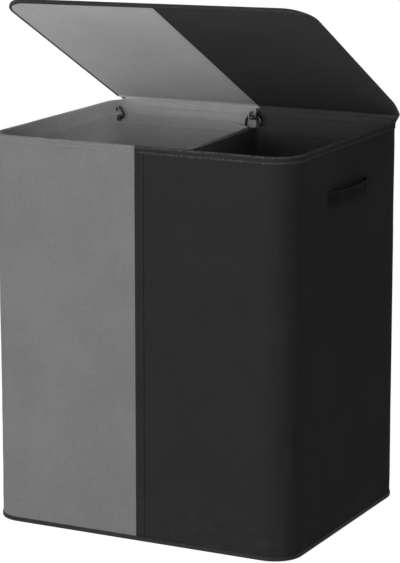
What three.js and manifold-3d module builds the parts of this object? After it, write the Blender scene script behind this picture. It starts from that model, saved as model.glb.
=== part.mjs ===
// Laundry hamper with two hanging liner bags, a flap lid on a sewn hinge and two webbing handles.
// Millimetres. +X right, +Y back, +Z up. The origin is the middle of the footprint, on the floor.
// Left half grey, right half black. The lid stands part open, as such a lid is left in use.

import * as THREE from 'three';
import { mergeVertices } from 'three/addons/utils/BufferGeometryUtils.js';
import Module from 'manifold-3d';

const wasm = await Module();
wasm.setup();

// Shared clearances and facet counts
const layerGap = 0.3;
const cutOverrun = 2;
const cornerSteps = 8;
const roundSteps = 12;

// Shell
const bodyWidth = 536;
const bodyDepth = 440;
const bodyHeight = 640;
const bodyCornerRadius = 46;
const coverThickness = 1;
const boardThickness = 2.5;
const liningThickness = 0.8;
const hemThickness = 0.8;
const hemHeight = 11;
const bindingThickness = 0.8;
const bindingHeight = 7;
const bindingFloorClearance = 0.6;
const seamStripWidth = 13;
const seamStripThickness = 0.7;
const boardSeamMargin = 8;
const boardEndMargin = 3;

// Base
const baseClothThickness = 1;
const baseBoardThickness = 3;
const baseBoardClearance = 1;

// Handles
const strapWidth = 25;
const strapThickness = 2;
const strapBow = 10;
const strapRamp = 22;
const strapTail = 20;
const strapTravel = 8;
const handleDrop = 90;
const slitSpacing = 165;
const slitClearance = 1;
const patchThickness = 0.8;
const patchMargin = 28;
const rampSteps = 6;

// Liner bags
const linerTopDrop = 22;
const linerFloorGap = 2;
const linerSideGap = 21;
const linerEndGap = 11;
const linerMiddleGap = 6.1;
const linerCornerRadius = 12;
const linerThickness = 1;
const linerHemThickness = 0.8;
const linerHemHeight = 20;

// Eyelets in the liner hems
const eyeletBoreRadius = 3.2;
const eyeletTubeThickness = 0.9;
const eyeletFlangeRadius = 6.2;
const eyeletFlangeThickness = 0.7;
const eyeletEdgeMargin = 1.3;

// Hooks and the tabs that hold them
const wireRadius = 2.1;
const wireSides = 6;
const wireSteps = 28;
const topCurlRadius = 4.3;
const lowCurlRadius = 7;
const hookTipOverhang = 1.2;
const hookHandleShare = 0.42;
const tabThickness = 1.6;
const tabHeight = 15;
const tabTopDrop = 3;
const tabHoleDrop = 12;
const tabHoleRadius = 2.9;
const tabNose = 7;
const tabSideStandOff = 8.5;
const tabMiddleStandOff = 7;

// Lid and its hinge strips
const lidWidth = 540;
const lidLength = 442;
const lidCornerRadius = 46;
const lidBackCornerRadius = 8;
const lidBoardThickness = 2.5;
const lidClothThickness = 0.8;
const lidBindingThickness = 0.6;
const lidBindingWall = 0.8;
const lidBindingWidth = 6;
const lidSeamOffset = 4;
const lidHingeGap = 2.2;
const lidRimClearance = 0.5;
const lidOpenAngle = THREE.MathUtils.degToRad(27.5);
const hingeStripWidth = 512;
const hingeStripLean = 24;
const hingeStripThickness = 0.8;
const hingeStripDrop = 40;
const hingeStripCornerRadius = 10;
const hingeStripClearance = 0.2;

// Wall layers, each as a depth in from the cover's outer face
const boardOuterDepth = coverThickness + layerGap;
const liningOuterDepth = boardOuterDepth + boardThickness + layerGap;
const liningInnerDepth = liningOuterDepth + liningThickness;
const hemInnerDepth = liningInnerDepth + layerGap + hemThickness;
const patchInnerDepth = liningInnerDepth + layerGap + patchThickness;
const hemProud = layerGap + hemThickness;

// Heights
const wallBottom = baseClothThickness + layerGap;
const wallTop = bodyHeight - hemThickness - layerGap;
const hemBottom = bodyHeight - hemHeight;
const handleHeight = bodyHeight - handleDrop;
const baseBoardTop = wallBottom + baseBoardThickness;
const linerTop = bodyHeight - linerTopDrop;
const linerBottom = baseBoardTop + linerFloorGap;
const eyeletHeight = linerTop - eyeletFlangeRadius - eyeletEdgeMargin;
const tabTop = bodyHeight - tabTopDrop;
const tabHoleHeight = bodyHeight - tabHoleDrop;

// Liner bag outline
const linerOuterX = bodyWidth / 2 - liningInnerDepth - linerSideGap;
const linerHalfDepth = bodyDepth / 2 - liningInnerDepth - linerEndGap;
const linerStackOut = layerGap + linerHemThickness;
const linerStackIn = linerThickness + layerGap + linerHemThickness;
const hangerY = linerHalfDepth - linerCornerRadius - eyeletFlangeRadius - eyeletEdgeMargin;

// Lid layers, downwards from its top face, which is level with the hinge axis
const lidCoverTop = -(lidBindingThickness + layerGap);
const lidBoardTop = lidCoverTop - lidClothThickness - layerGap;
const lidLiningTop = lidBoardTop - lidBoardThickness - layerGap;
const lidBottom = lidLiningTop - lidClothThickness - layerGap - lidBindingThickness;
const stripInnerDepth = -(hemProud + layerGap);
const hingeY = bodyDepth / 2 - stripInnerDepth + hingeStripThickness * 2;
const hingeZ = bodyHeight + lidRimClearance - lidBottom;

const material = (color, roughness, metalness = 0) =>
  new THREE.MeshStandardMaterial({ color, roughness, metalness });
const greyCloth = material('#7d7d7d', 0.9);
const blackCloth = material('#2a2a2a', 0.88);
const greyLining = material('#868686', 0.9);
const blackLining = material('#1e1e1e', 0.9);
const card = material('#b39a74', 0.95);
const webbing = material('#242424', 0.8);
const blackWire = material('#141414', 0.35, 0.6);
const eyeletSteel = material('#3c3c3e', 0.35, 1);

const halves = [
  { side: -1, hand: 'left', colour: 'grey', cloth: greyCloth, lining: greyLining },
  { side: 1, hand: 'right', colour: 'black', cloth: blackCloth, lining: blackLining },
];
const ends = [
  { end: -1, place: 'front' },
  { end: 1, place: 'back' },
];

const hamper = new THREE.Group();
const lid = new THREE.Group();
lid.position.set(0, hingeY, hingeZ);
lid.rotation.x = -lidOpenAngle;
hamper.add(lid);

function addPart(name, geometry, finish, parent = hamper) {
  const mesh = new THREE.Mesh(geometry, finish);
  mesh.name = name;
  parent.add(mesh);
}

// Solid and surface conversions for cutting and joining
function toSolid(geometry) {
  const bare = geometry.clone();
  bare.deleteAttribute('normal');
  bare.deleteAttribute('uv');
  const merged = mergeVertices(bare);
  const vertProperties = new Float32Array(merged.attributes.position.array);
  const triVerts = new Uint32Array(merged.index.array);
  return new wasm.Manifold(new wasm.Mesh({ numProp: 3, vertProperties, triVerts }));
}

function toGeometry(solid) {
  const mesh = solid.getMesh();
  const geometry = new THREE.BufferGeometry();
  geometry.setAttribute('position', new THREE.BufferAttribute(mesh.vertProperties, 3));
  geometry.setIndex(new THREE.BufferAttribute(mesh.triVerts, 1));
  geometry.computeVertexNormals();
  return geometry;
}

function cut(geometry, ...tools) {
  return toGeometry(tools.reduce((solid, tool) => solid.subtract(toSolid(tool)), toSolid(geometry)));
}

// Outlines and prisms
function arc(centreX, centreY, radius, startAngle, endAngle, steps = cornerSteps) {
  return Array.from({ length: steps + 1 }, (_, step) => {
    const angle = startAngle + (endAngle - startAngle) * step / steps;
    return new THREE.Vector2(centreX + radius * Math.cos(angle), centreY + radius * Math.sin(angle));
  });
}

function roundedOutline(lowX, lowY, highX, highY, radius, backRadius = radius) {
  const quarter = Math.PI / 2;
  return [
    ...arc(highX - backRadius, highY - backRadius, backRadius, 0, quarter),
    ...arc(lowX + backRadius, highY - backRadius, backRadius, quarter, 2 * quarter),
    ...arc(lowX + radius, lowY + radius, radius, 2 * quarter, 3 * quarter),
    ...arc(highX - radius, lowY + radius, radius, 3 * quarter, 4 * quarter),
  ];
}

function prism(outline, bottom, top) {
  const shape = new THREE.Shape(outline);
  const geometry = new THREE.ExtrudeGeometry(shape, { depth: top - bottom, bevelEnabled: false });
  return geometry.translate(0, 0, bottom);
}

function block(lowX, highX, lowY, highY, bottom, top) {
  const geometry = new THREE.BoxGeometry(highX - lowX, highY - lowY, top - bottom);
  return geometry.translate((lowX + highX) / 2, (lowY + highY) / 2, (bottom + top) / 2);
}

// The shell's plan at a depth in from the cover's outer face
function shellOutline(depth) {
  const halfX = bodyWidth / 2 - depth;
  const halfY = bodyDepth / 2 - depth;
  return roundedOutline(-halfX, -halfY, halfX, halfY, bodyCornerRadius - depth);
}

// One half of that plan, from the middle of the front round one side to the middle of the back
function halfPath(side, depth, startX) {
  const halfX = bodyWidth / 2 - depth;
  const halfY = bodyDepth / 2 - depth;
  const radius = bodyCornerRadius - depth;
  const quarter = Math.PI / 2;
  const path = [
    new THREE.Vector2(startX, -halfY),
    ...arc(halfX - radius, radius - halfY, radius, -quarter, 0),
    ...arc(halfX - radius, halfY - radius, radius, 0, quarter),
    new THREE.Vector2(startX, halfY),
  ];
  return path.map((point) => new THREE.Vector2(side * point.x, point.y));
}

function halfBand(side, outerDepth, innerDepth, bottom, top, startX = layerGap / 2) {
  const outer = halfPath(side, outerDepth, startX);
  const inner = halfPath(side, innerDepth, startX).reverse();
  return prism([...outer, ...inner], bottom, top);
}

// Slits for the strap's two legs, through every layer of one side wall
function handleSlits(side) {
  const halfSlit = strapThickness / 2 + slitClearance;
  const halfTall = strapWidth / 2 + slitClearance;
  const middle = side * bodyWidth / 2;
  const reach = patchInnerDepth + cutOverrun;
  return [-1, 1].map((end) => {
    const slitY = end * slitSpacing / 2;
    return block(middle - reach, middle + reach, slitY - halfSlit, slitY + halfSlit,
      handleHeight - halfTall, handleHeight + halfTall);
  });
}

// A folded hem over the wall's top edge, open underneath
function rimHem(side) {
  const whole = halfBand(side, -hemProud, hemInnerDepth, hemBottom, bodyHeight);
  const hollow = halfBand(side, -layerGap, liningInnerDepth + layerGap,
    hemBottom - cutOverrun, wallTop + layerGap, -cutOverrun);
  return cut(whole, hollow);
}

function buildShell() {
  for (const { side, hand, colour, cloth, lining } of halves) {
    const cover = halfBand(side, 0, coverThickness, wallBottom, wallTop);
    const inner = halfBand(side, liningOuterDepth, liningInnerDepth, wallBottom, wallTop);
    addPart(`cover_${colour}`, cut(cover, ...handleSlits(side)), cloth);
    addPart(`lining_${colour}`, cut(inner, ...handleSlits(side)), lining);
    addPart(`rim_hem_${colour}`, rimHem(side), cloth);
    addPart(`board_side_${hand}`, cut(sideBoard(side), ...handleSlits(side)), card);
    for (const { end, place } of ends) {
      addPart(`board_${place}_${hand}`, endBoard(side, end), card);
    }
  }
  for (const { end, place } of ends) {
    addPart(`${place}_seam_strip`, seamStrip(end), blackCloth);
  }
}

function sideBoard(side) {
  const outer = bodyWidth / 2 - boardOuterDepth;
  const inner = outer - boardThickness;
  const reach = bodyDepth / 2 - bodyCornerRadius;
  const [lowX, highX] = side > 0 ? [inner, outer] : [-outer, -inner];
  return block(lowX, highX, -reach, reach, wallBottom + boardEndMargin, wallTop - boardEndMargin);
}

function endBoard(side, end) {
  const outer = bodyDepth / 2 - boardOuterDepth;
  const inner = outer - boardThickness;
  const far = bodyWidth / 2 - bodyCornerRadius;
  const [lowX, highX] = side > 0 ? [boardSeamMargin, far] : [-far, -boardSeamMargin];
  const [lowY, highY] = end > 0 ? [inner, outer] : [-outer, -inner];
  return block(lowX, highX, lowY, highY, wallBottom + boardEndMargin, wallTop - boardEndMargin);
}

// A lapped strip on the black side of the colour split
function seamStrip(end) {
  const inner = bodyDepth / 2 + layerGap;
  const outer = inner + seamStripThickness;
  const [lowY, highY] = end > 0 ? [inner, outer] : [-outer, -inner];
  return block(0, seamStripWidth, lowY, highY,
    bindingFloorClearance + bindingHeight + layerGap, hemBottom - layerGap);
}

function buildBase() {
  const binding = prism(shellOutline(-layerGap - bindingThickness), bindingFloorClearance,
    bindingFloorClearance + bindingHeight);
  const opening = prism(shellOutline(-layerGap), -cutOverrun, bindingHeight + cutOverrun);
  addPart('base_binding', cut(binding, opening), webbing);
  addPart('base_cloth', prism(shellOutline(0), 0, baseClothThickness), blackCloth);
  const boardOutline = shellOutline(liningInnerDepth + baseBoardClearance);
  addPart('base_board', prism(boardOutline, wallBottom, baseBoardTop), blackLining);
}

// A strip of even thickness along a path in plan, with mitred turns
function ribbon(path, thickness) {
  const edge = (sign) => path.map((point, index) => {
    const before = path[Math.max(index - 1, 0)];
    const after = path[Math.min(index + 1, path.length - 1)];
    const entry = (index > 0 ? point.clone().sub(before) : after.clone().sub(point)).normalize();
    const leave = (index < path.length - 1 ? after.clone().sub(point) : entry.clone()).normalize();
    const normalIn = new THREE.Vector2(-entry.y, entry.x);
    const normalOut = new THREE.Vector2(-leave.y, leave.x);
    const mitre = normalIn.clone().add(normalOut).normalize();
    return point.clone().addScaledVector(mitre, sign * thickness / 2 / mitre.dot(normalIn));
  });
  return [...edge(1), ...edge(-1).reverse()];
}

// The strap in plan: sewn tail inside, leg through the slit, ramp, then the grip
function strapPath(side) {
  const face = bodyWidth / 2;
  const slitY = slitSpacing / 2;
  const tailX = face - patchInnerDepth - layerGap - strapTravel - strapThickness / 2;
  const legX = face + layerGap + strapThickness / 2;
  const half = [new THREE.Vector2(tailX, slitY + strapTail), new THREE.Vector2(tailX, slitY)];
  for (let step = 0; step <= rampSteps; step += 1) {
    const along = step / rampSteps;
    const rise = (1 - Math.cos(Math.PI * along)) / 2;
    half.push(new THREE.Vector2(legX + (face + strapBow - legX) * rise, slitY - strapRamp * along));
  }
  const other = half.map((point) => new THREE.Vector2(point.x, -point.y)).reverse();
  return [...half, ...other].map((point) => new THREE.Vector2(side * point.x, point.y));
}

function buildHandles() {
  const low = handleHeight - strapWidth / 2;
  const high = handleHeight + strapWidth / 2;
  const patchReach = slitSpacing / 2 + patchMargin;
  for (const { side, hand } of halves) {
    const strap = prism(ribbon(strapPath(side), strapThickness), low, high);
    const outer = bodyWidth / 2 - liningInnerDepth - layerGap;
    const inner = outer - patchThickness;
    const [lowX, highX] = side > 0 ? [inner, outer] : [-outer, -inner];
    const patch = block(lowX, highX, -patchReach, patchReach, low - patchMargin, high + patchMargin);
    addPart(`handle_${hand}`, strap, webbing);
    addPart(`handle_patch_${hand}`, cut(patch, ...handleSlits(side)), webbing);
  }
}

// A liner bag's plan, grown outwards by a margin
function linerOutline(side, margin) {
  const near = linerMiddleGap - margin;
  const far = linerOuterX + margin;
  const [lowX, highX] = side > 0 ? [near, far] : [-far, -near];
  const halfY = linerHalfDepth + margin;
  return roundedOutline(lowX, -halfY, highX, halfY, linerCornerRadius + margin);
}

// Holes for the eyelet tubes, through both side walls of a bag
function eyeletHoles(side) {
  const radius = eyeletBoreRadius + eyeletTubeThickness + layerGap;
  const reach = linerOuterX - linerMiddleGap + 2 * (linerStackOut + cutOverrun);
  const middle = side * (linerOuterX + linerMiddleGap) / 2;
  return ends.map(({ end }) => {
    const hole = new THREE.CylinderGeometry(radius, radius, reach, roundSteps);
    return hole.rotateZ(Math.PI / 2).translate(middle, end * hangerY, eyeletHeight);
  });
}

function buildLiners() {
  const bagTop = linerTop - linerHemThickness - layerGap;
  for (const { side, colour, lining } of halves) {
    const bag = prism(linerOutline(side, 0), linerBottom, bagTop);
    const hollow = prism(linerOutline(side, -linerThickness), linerBottom + linerThickness,
      bagTop + cutOverrun);
    addPart(`liner_${colour}`, cut(bag, hollow, ...eyeletHoles(side)), lining);
    const hem = prism(linerOutline(side, linerStackOut), linerTop - linerHemHeight, linerTop);
    const mouth = prism(linerOutline(side, -linerStackIn), linerBottom, linerTop + cutOverrun);
    const fold = cut(prism(linerOutline(side, layerGap), linerBottom, bagTop + layerGap),
      prism(linerOutline(side, -linerThickness - layerGap), 0, linerTop + cutOverrun));
    addPart(`liner_hem_${colour}`, cut(hem, mouth, fold, ...eyeletHoles(side)), lining);
  }
}

// A spool-shaped eyelet round the hem: its axis lies along X, from the outside of the bag inwards
function eyelet(faceX, inward, y) {
  const tube = eyeletBoreRadius + eyeletTubeThickness;
  const outFace = -(linerStackOut + layerGap);
  const inFace = linerStackIn + layerGap;
  const profile = [
    [eyeletBoreRadius, outFace - eyeletFlangeThickness],
    [eyeletFlangeRadius, outFace - eyeletFlangeThickness],
    [eyeletFlangeRadius, outFace],
    [tube, outFace],
    [tube, inFace],
    [eyeletFlangeRadius, inFace],
    [eyeletFlangeRadius, inFace + eyeletFlangeThickness],
    [eyeletBoreRadius, inFace + eyeletFlangeThickness],
    [eyeletBoreRadius, outFace - eyeletFlangeThickness],
  ].map(([radius, along]) => new THREE.Vector2(radius, along));
  const spool = new THREE.LatheGeometry(profile, roundSteps);
  return spool.rotateZ(-inward * Math.PI / 2).translate(faceX, y, eyeletHeight);
}

// A flat webbing tab that stands out of the wall beside a hook, with a hole for it
function hookTab(tabX, end) {
  const outerX = Math.abs(tabX) + tabThickness / 2;
  const centreX = bodyWidth / 2 - bodyCornerRadius;
  const facetDip = Math.cos(Math.PI / 4 / cornerSteps);
  const radius = (bodyCornerRadius - hemInnerDepth) * facetDip;
  const sideways = Math.max(outerX - centreX, 0);
  const rootY = bodyDepth / 2 - bodyCornerRadius + Math.sqrt(radius ** 2 - sideways ** 2) - layerGap;
  const lowY = hangerY - tabNose;
  const shape = new THREE.Shape([
    new THREE.Vector2(lowY, tabTop - tabHeight),
    new THREE.Vector2(rootY, tabTop - tabHeight),
    new THREE.Vector2(rootY, tabTop),
    new THREE.Vector2(lowY, tabTop),
  ]);
  shape.holes.push(new THREE.Path(
    arc(hangerY, tabHoleHeight, tabHoleRadius, 0, 2 * Math.PI, roundSteps).slice(1)));
  const flat = new THREE.ExtrudeGeometry(shape, { depth: tabThickness, bevelEnabled: false });
  const standing = new THREE.Matrix4().makeBasis(
    new THREE.Vector3(0, 1, 0), new THREE.Vector3(0, 0, 1), new THREE.Vector3(1, 0, 0));
  flat.applyMatrix4(standing).translate(tabX - tabThickness / 2, 0, 0);
  return end > 0 ? flat : flat.rotateZ(Math.PI).translate(2 * tabX, 0, 0);
}

// A hook's route in an upright plane: over the tab's lower strand, inwards, down and back
// through the eyelet. Distances are from the tab, towards the inside of the bag.
function hookRoute(bagFace) {
  const curlHeight = tabHoleHeight - topCurlRadius;
  const turnEnd = Math.PI / 6;
  const topCurl = arc(0, curlHeight, topCurlRadius, Math.PI + turnEnd, turnEnd);
  const belly = bagFace + linerStackIn + eyeletFlangeThickness + 2 * layerGap + lowCurlRadius;
  const lowStart = new THREE.Vector2(belly, eyeletHeight + lowCurlRadius);
  const topEnd = topCurl[topCurl.length - 1];
  const leave = new THREE.Vector2(Math.sin(turnEnd), -Math.cos(turnEnd));
  const handleLength = hookHandleShare * topEnd.distanceTo(lowStart);
  const shank = new THREE.CubicBezierCurve(
    topEnd,
    topEnd.clone().addScaledVector(leave, handleLength),
    lowStart.clone().add(new THREE.Vector2(0, handleLength)),
    lowStart,
  ).getPoints(cornerSteps);
  const lowCurl = arc(belly - lowCurlRadius, eyeletHeight + lowCurlRadius, lowCurlRadius,
    0, -Math.PI / 2);
  const tip = bagFace - linerStackOut - layerGap - eyeletFlangeThickness - hookTipOverhang;
  return [...topCurl, ...shank.slice(1), ...lowCurl.slice(1), new THREE.Vector2(tip, eyeletHeight)];
}

function hook(tabX, inward, y, bagFace) {
  const points = hookRoute(bagFace).map((point) =>
    new THREE.Vector3(tabX + inward * point.x, y, point.y));
  const route = new THREE.CatmullRomCurve3(points, false, 'centripetal');
  const section = new THREE.Shape(arc(0, 0, wireRadius, 0, 2 * Math.PI, wireSides).slice(1));
  return new THREE.ExtrudeGeometry(section, { steps: wireSteps, extrudePath: route });
}

function buildHangers() {
  const tabSideX = bodyWidth / 2 - liningInnerDepth - tabSideStandOff;
  const rows = [
    { row: 'outer', tabX: tabSideX, inwardSign: -1, faceX: linerOuterX },
    { row: 'inner', tabX: tabMiddleStandOff, inwardSign: 1, faceX: linerMiddleGap },
  ];
  for (const { side, hand } of halves) {
    for (const { row, tabX, inwardSign, faceX } of rows) {
      const inward = side * inwardSign;
      const bagFace = (faceX - tabX) * inwardSign;
      for (const { end, place } of ends) {
        const label = `${hand}_${row}_${place}`;
        addPart(`hook_tab_${label}`, hookTab(side * tabX, end), webbing);
        addPart(`hook_${label}`, hook(side * tabX, inward, end * hangerY, bagFace), blackWire);
        addPart(`eyelet_${label}`, eyelet(side * faceX, inward, end * hangerY), eyeletSteel);
      }
    }
  }
}

// The lid lies level in its own group, from the hinge towards -Y, and the group turns it open
function lidOutline(inset) {
  return roundedOutline(-lidWidth / 2 + inset, -lidHingeGap - lidLength + inset,
    lidWidth / 2 - inset, -lidHingeGap - inset,
    lidCornerRadius - inset, lidBackCornerRadius - inset);
}

// The outline inside the binding, which runs along three sides and is open at the hinge
function bindingOpening(inset) {
  return roundedOutline(-lidWidth / 2 + inset, -lidHingeGap - lidLength + inset,
    lidWidth / 2 - inset, lidCornerRadius, lidCornerRadius - inset);
}

function lidHalf(side, top, thickness) {
  const inset = lidBindingWall + layerGap;
  const keepLow = side > 0 ? lidSeamOffset + layerGap / 2 : -lidWidth;
  const keepHigh = side > 0 ? lidWidth : lidSeamOffset - layerGap / 2;
  const whole = toSolid(prism(lidOutline(inset), top - thickness, top));
  const keep = block(keepLow, keepHigh, -2 * lidLength, lidLength,
    lidBottom - cutOverrun, cutOverrun);
  return toGeometry(whole.intersect(toSolid(keep)));
}

// One colour of the cloth that joins the lid to the shell. It lies flat behind the back wall,
// from the fold down, and its outer edge leans inwards.
function hingeStrip(side) {
  const seam = lidSeamOffset + side * layerGap / 2;
  const outer = side * hingeStripWidth / 2;
  const top = hingeZ - hingeStripClearance;
  const bottom = bodyHeight - hingeStripDrop;
  const lowCorner = outer - side * hingeStripLean;
  const leanPerHeight = side * hingeStripLean / (top - bottom);
  const shape = new THREE.Shape();
  shape.moveTo(seam, bottom);
  shape.lineTo(lowCorner - side * hingeStripCornerRadius, bottom);
  shape.quadraticCurveTo(lowCorner, bottom,
    lowCorner + leanPerHeight * hingeStripCornerRadius, bottom + hingeStripCornerRadius);
  shape.lineTo(outer, top);
  shape.lineTo(seam, top);
  const flat = new THREE.ExtrudeGeometry(
    shape, { depth: hingeStripThickness, bevelEnabled: false });
  const standing = new THREE.Matrix4().makeBasis(
    new THREE.Vector3(1, 0, 0), new THREE.Vector3(0, 0, 1), new THREE.Vector3(0, -1, 0));
  const stripOuterY = bodyDepth / 2 - stripInnerDepth + hingeStripThickness;
  return flat.applyMatrix4(standing).translate(0, stripOuterY, 0);
}

function buildLid() {
  for (const { side, colour, cloth, lining } of halves) {
    addPart(`lid_cover_${colour}`, lidHalf(side, lidCoverTop, lidClothThickness), cloth, lid);
    addPart(`lid_lining_${colour}`, lidHalf(side, lidLiningTop, lidClothThickness), lining, lid);
    addPart(`hinge_strip_${colour}`, hingeStrip(side), cloth);
  }
  const board = prism(lidOutline(lidBindingWall + layerGap), lidBoardTop - lidBoardThickness, lidBoardTop);
  addPart('lid_board', board, card, lid);
  const edging = cut(
    prism(lidOutline(0), lidBottom, 0),
    prism(bindingOpening(lidBindingWall), lidBottom + lidBindingThickness, -lidBindingThickness),
    prism(bindingOpening(lidBindingWidth), lidBottom - cutOverrun, cutOverrun),
  );
  addPart('lid_binding', edging, webbing, lid);
}

buildShell();
buildBase();
buildHandles();
buildLiners();
buildHangers();
buildLid();

export default hamper;
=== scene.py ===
"""The looks of a laundry hamper with two hanging bags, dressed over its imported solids.

Lengths are in metres, in the frame of the solids: +X right, +Y back, +Z up, with the origin
on the floor under the middle of the hamper. The left half is grey and the right half black.
"""

import logging
import math
from collections.abc import Callable, Sequence
from dataclasses import dataclass, field
from enum import Enum, IntEnum

import bmesh
import bpy
import numpy as np
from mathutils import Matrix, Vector


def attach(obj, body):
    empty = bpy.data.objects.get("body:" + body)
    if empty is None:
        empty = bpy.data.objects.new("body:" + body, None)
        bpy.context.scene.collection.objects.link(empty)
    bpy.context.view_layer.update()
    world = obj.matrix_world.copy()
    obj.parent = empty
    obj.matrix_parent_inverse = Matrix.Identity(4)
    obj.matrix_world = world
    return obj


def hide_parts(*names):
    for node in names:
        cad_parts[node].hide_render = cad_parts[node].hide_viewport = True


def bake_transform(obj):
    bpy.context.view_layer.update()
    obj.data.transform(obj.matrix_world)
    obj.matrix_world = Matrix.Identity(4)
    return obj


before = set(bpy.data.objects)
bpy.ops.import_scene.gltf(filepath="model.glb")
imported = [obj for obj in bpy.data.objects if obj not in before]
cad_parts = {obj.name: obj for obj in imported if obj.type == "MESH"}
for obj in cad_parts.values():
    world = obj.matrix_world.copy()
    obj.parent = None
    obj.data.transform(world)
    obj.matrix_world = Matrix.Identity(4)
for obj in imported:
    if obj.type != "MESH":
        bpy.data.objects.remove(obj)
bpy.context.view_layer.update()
log = logging.getLogger("hamper")

MM = 0.001
TAU = 2 * math.pi
PLACE = "cloth"
# The point attribute of worn edges, which on the rim hem marks painted highlights
WORN_AND_HIGHLIT = "worn"
# Decimals of a metre that tell two distances apart
DECIMALS = 7
SELVEDGE = 1.2 * MM
SAME_PLACE = 0.001 * MM
Numbers = np.ndarray | float
Colour = tuple[float, float, float]


class Hand(Enum):
    """The two halves of the hamper, with the sign of the side they lie on."""

    LEFT = -1
    RIGHT = 1

    @property
    def colour(self) -> str:
        """The colour word that the solids of this half carry."""
        return "grey" if self is Hand.LEFT else "black"

    @property
    def side(self) -> str:
        """The side word that the solids of this half carry."""
        return self.name.lower()


class End(Enum):
    """Front and back, with the sign of their side."""

    FRONT = -1
    BACK = 1

    @property
    def place(self) -> str:
        """The word that the solids at this end carry."""
        return self.name.lower()


class Row(Enum):
    """Which side wall of a bag a hanger holds: towards X, away from X."""

    OUTER = -1
    INNER = 1


class Seed(IntEnum):
    """The first seed of each cloth's unevenness; the two halves and its layers add to it."""

    WALL = 20
    HEM = 40
    STRIP = 60
    BINDING = 70
    PATCH = 80
    BAG = 90
    BAG_FLOOR = 120
    BAG_HEM = 130
    LID_BINDING = 150
    LID = 160
    FLAP = 180
    WELT = 190


class Ribs(Enum):
    """How the threads of a narrow tape run: block width in the pattern, in pitches."""

    HERRINGBONE = 6.0
    CROSSWISE = 40.0


def smooth(value: Numbers, low: float, high: float) -> np.ndarray:
    """A smooth rise from 0 at low to 1 at high.

    Args:
        value: Where to read the rise.
        low: The value where it starts.
        high: The value where it is whole.

    Returns:
        The share for each value.
    """
    share = np.clip((np.asarray(value, float) - low) / (high - low), 0, 1)
    return share * share * (3 - 2 * share)


def bump_at(value: Numbers, centre: float, reach: float) -> np.ndarray:
    """A soft bell of height 1 round a centre.

    Args:
        value: Where to read the bell.
        centre: Its middle.
        reach: The distance at which it has fallen to about a third.

    Returns:
        The height for each value.
    """
    return np.exp(-(((np.asarray(value, float) - centre) / reach) ** 2))


def spaced(step: float, *marks: float) -> np.ndarray:
    """Distances from the first mark to the last, each mark among them.

    Args:
        step: The widest gap between two neighbours.
        marks: The distances that have to be there, in rising order.

    Returns:
        The distances.
    """
    parts = [
        np.linspace(a, b, max(1, math.ceil((b - a) / step - 1e-6)) + 1)[:-1]
        for a, b in zip(marks, marks[1:])
    ]
    return np.concatenate([*parts, marks[-1:]])


def lengths_along(line: np.ndarray) -> np.ndarray:
    """How far along a line each of its points lies."""
    return np.concatenate([[0], np.cumsum(np.linalg.norm(np.diff(line, axis=0), axis=1))])


def read_along(line: np.ndarray, along: np.ndarray, at: np.ndarray) -> np.ndarray:
    """The points of a line, known at the distances along, at other distances."""
    return np.stack([np.interp(at, along, values) for values in line.T], 1)


def unit(vectors: np.ndarray) -> np.ndarray:
    """The same directions, each with a length of 1."""
    return vectors / np.linalg.norm(vectors, axis=1, keepdims=True)


def paired(first: Numbers, second: Numbers) -> np.ndarray:
    """A grid of two coordinates, from values that spread over its rows and columns."""
    return np.stack(np.broadcast_arrays(first, second), -1)


def facing_all(line: np.ndarray, *direction: float) -> np.ndarray:
    """One direction, repeated for each point of a line."""
    return np.tile(np.array(direction, float), (len(line), 1))


def unit_circle(count: int) -> np.ndarray:
    """That many points of a circle of radius 1, in order."""
    angle = np.linspace(0, TAU, count, endpoint=False)
    return np.stack([np.cos(angle), np.sin(angle)], 1)


@dataclass(frozen=True)
class Unevenness:
    """A repeatable, smooth unevenness of cloth, made of crossing waves."""

    seed: int
    wavelength: float
    height: float
    stretch: float = 1.0
    waves: int = 10
    spread: tuple = (0.7, 1.7)

    def at(self, across: Numbers, along: Numbers) -> np.ndarray:
        """The height of the unevenness at places on the cloth.

        Args:
            across: The first coordinate.
            along: The second coordinate, in which the waves are stretched.

        Returns:
            Heights, mostly within plus and minus the field height.
        """
        draw = np.random.default_rng(self.seed)
        turns, phases = draw.uniform(0, TAU, (2, self.waves))
        lengths = self.wavelength * draw.uniform(*self.spread, self.waves)
        first, second = np.broadcast_arrays(across, np.asarray(along) / self.stretch)
        total = sum(
            np.sin(TAU * (first * math.cos(t) + second * math.sin(t)) / length + phase)
            for t, length, phase in zip(turns, lengths, phases)
        )
        return self.height * total / math.sqrt(self.waves)


@dataclass(frozen=True)
class Run:
    """A line in plan that cloth follows, with its outward directions and its length along."""

    points: np.ndarray
    outward: np.ndarray
    along: np.ndarray
    closed: bool = False

    def place(self, inset: Numbers, height: Numbers) -> np.ndarray:
        """Points beside the line.

        Args:
            inset: Distances in from the line, one a row, or rows of one a point.
            height: Heights in the same form.

        Returns:
            Points as rows, columns and three coordinates.
        """
        inset, height = (self.rows_of(x) for x in (inset, height))
        inset, height = np.broadcast_arrays(inset, height)
        plan = self.points[None] - self.outward[None] * inset[..., None]
        return np.concatenate([plan, height[..., None]], -1)

    def rows_of(self, values: Numbers) -> np.ndarray:
        """Values spread over rows and the points of the line.

        Args:
            values: One value a row, or rows of one value a point.

        Returns:
            Rows of one value a point.
        """
        values = np.asarray(values, float)
        values = values[:, None] if values.ndim == 1 else np.atleast_2d(values)
        return np.broadcast_to(values, (len(values), len(self.points)))

    def directions(self, rows: int) -> np.ndarray:
        """The outward directions as level vectors, once for each row."""
        level = np.concatenate([self.outward, np.zeros((len(self.outward), 1))], 1)
        return np.broadcast_to(level, (rows, *level.shape))


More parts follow.
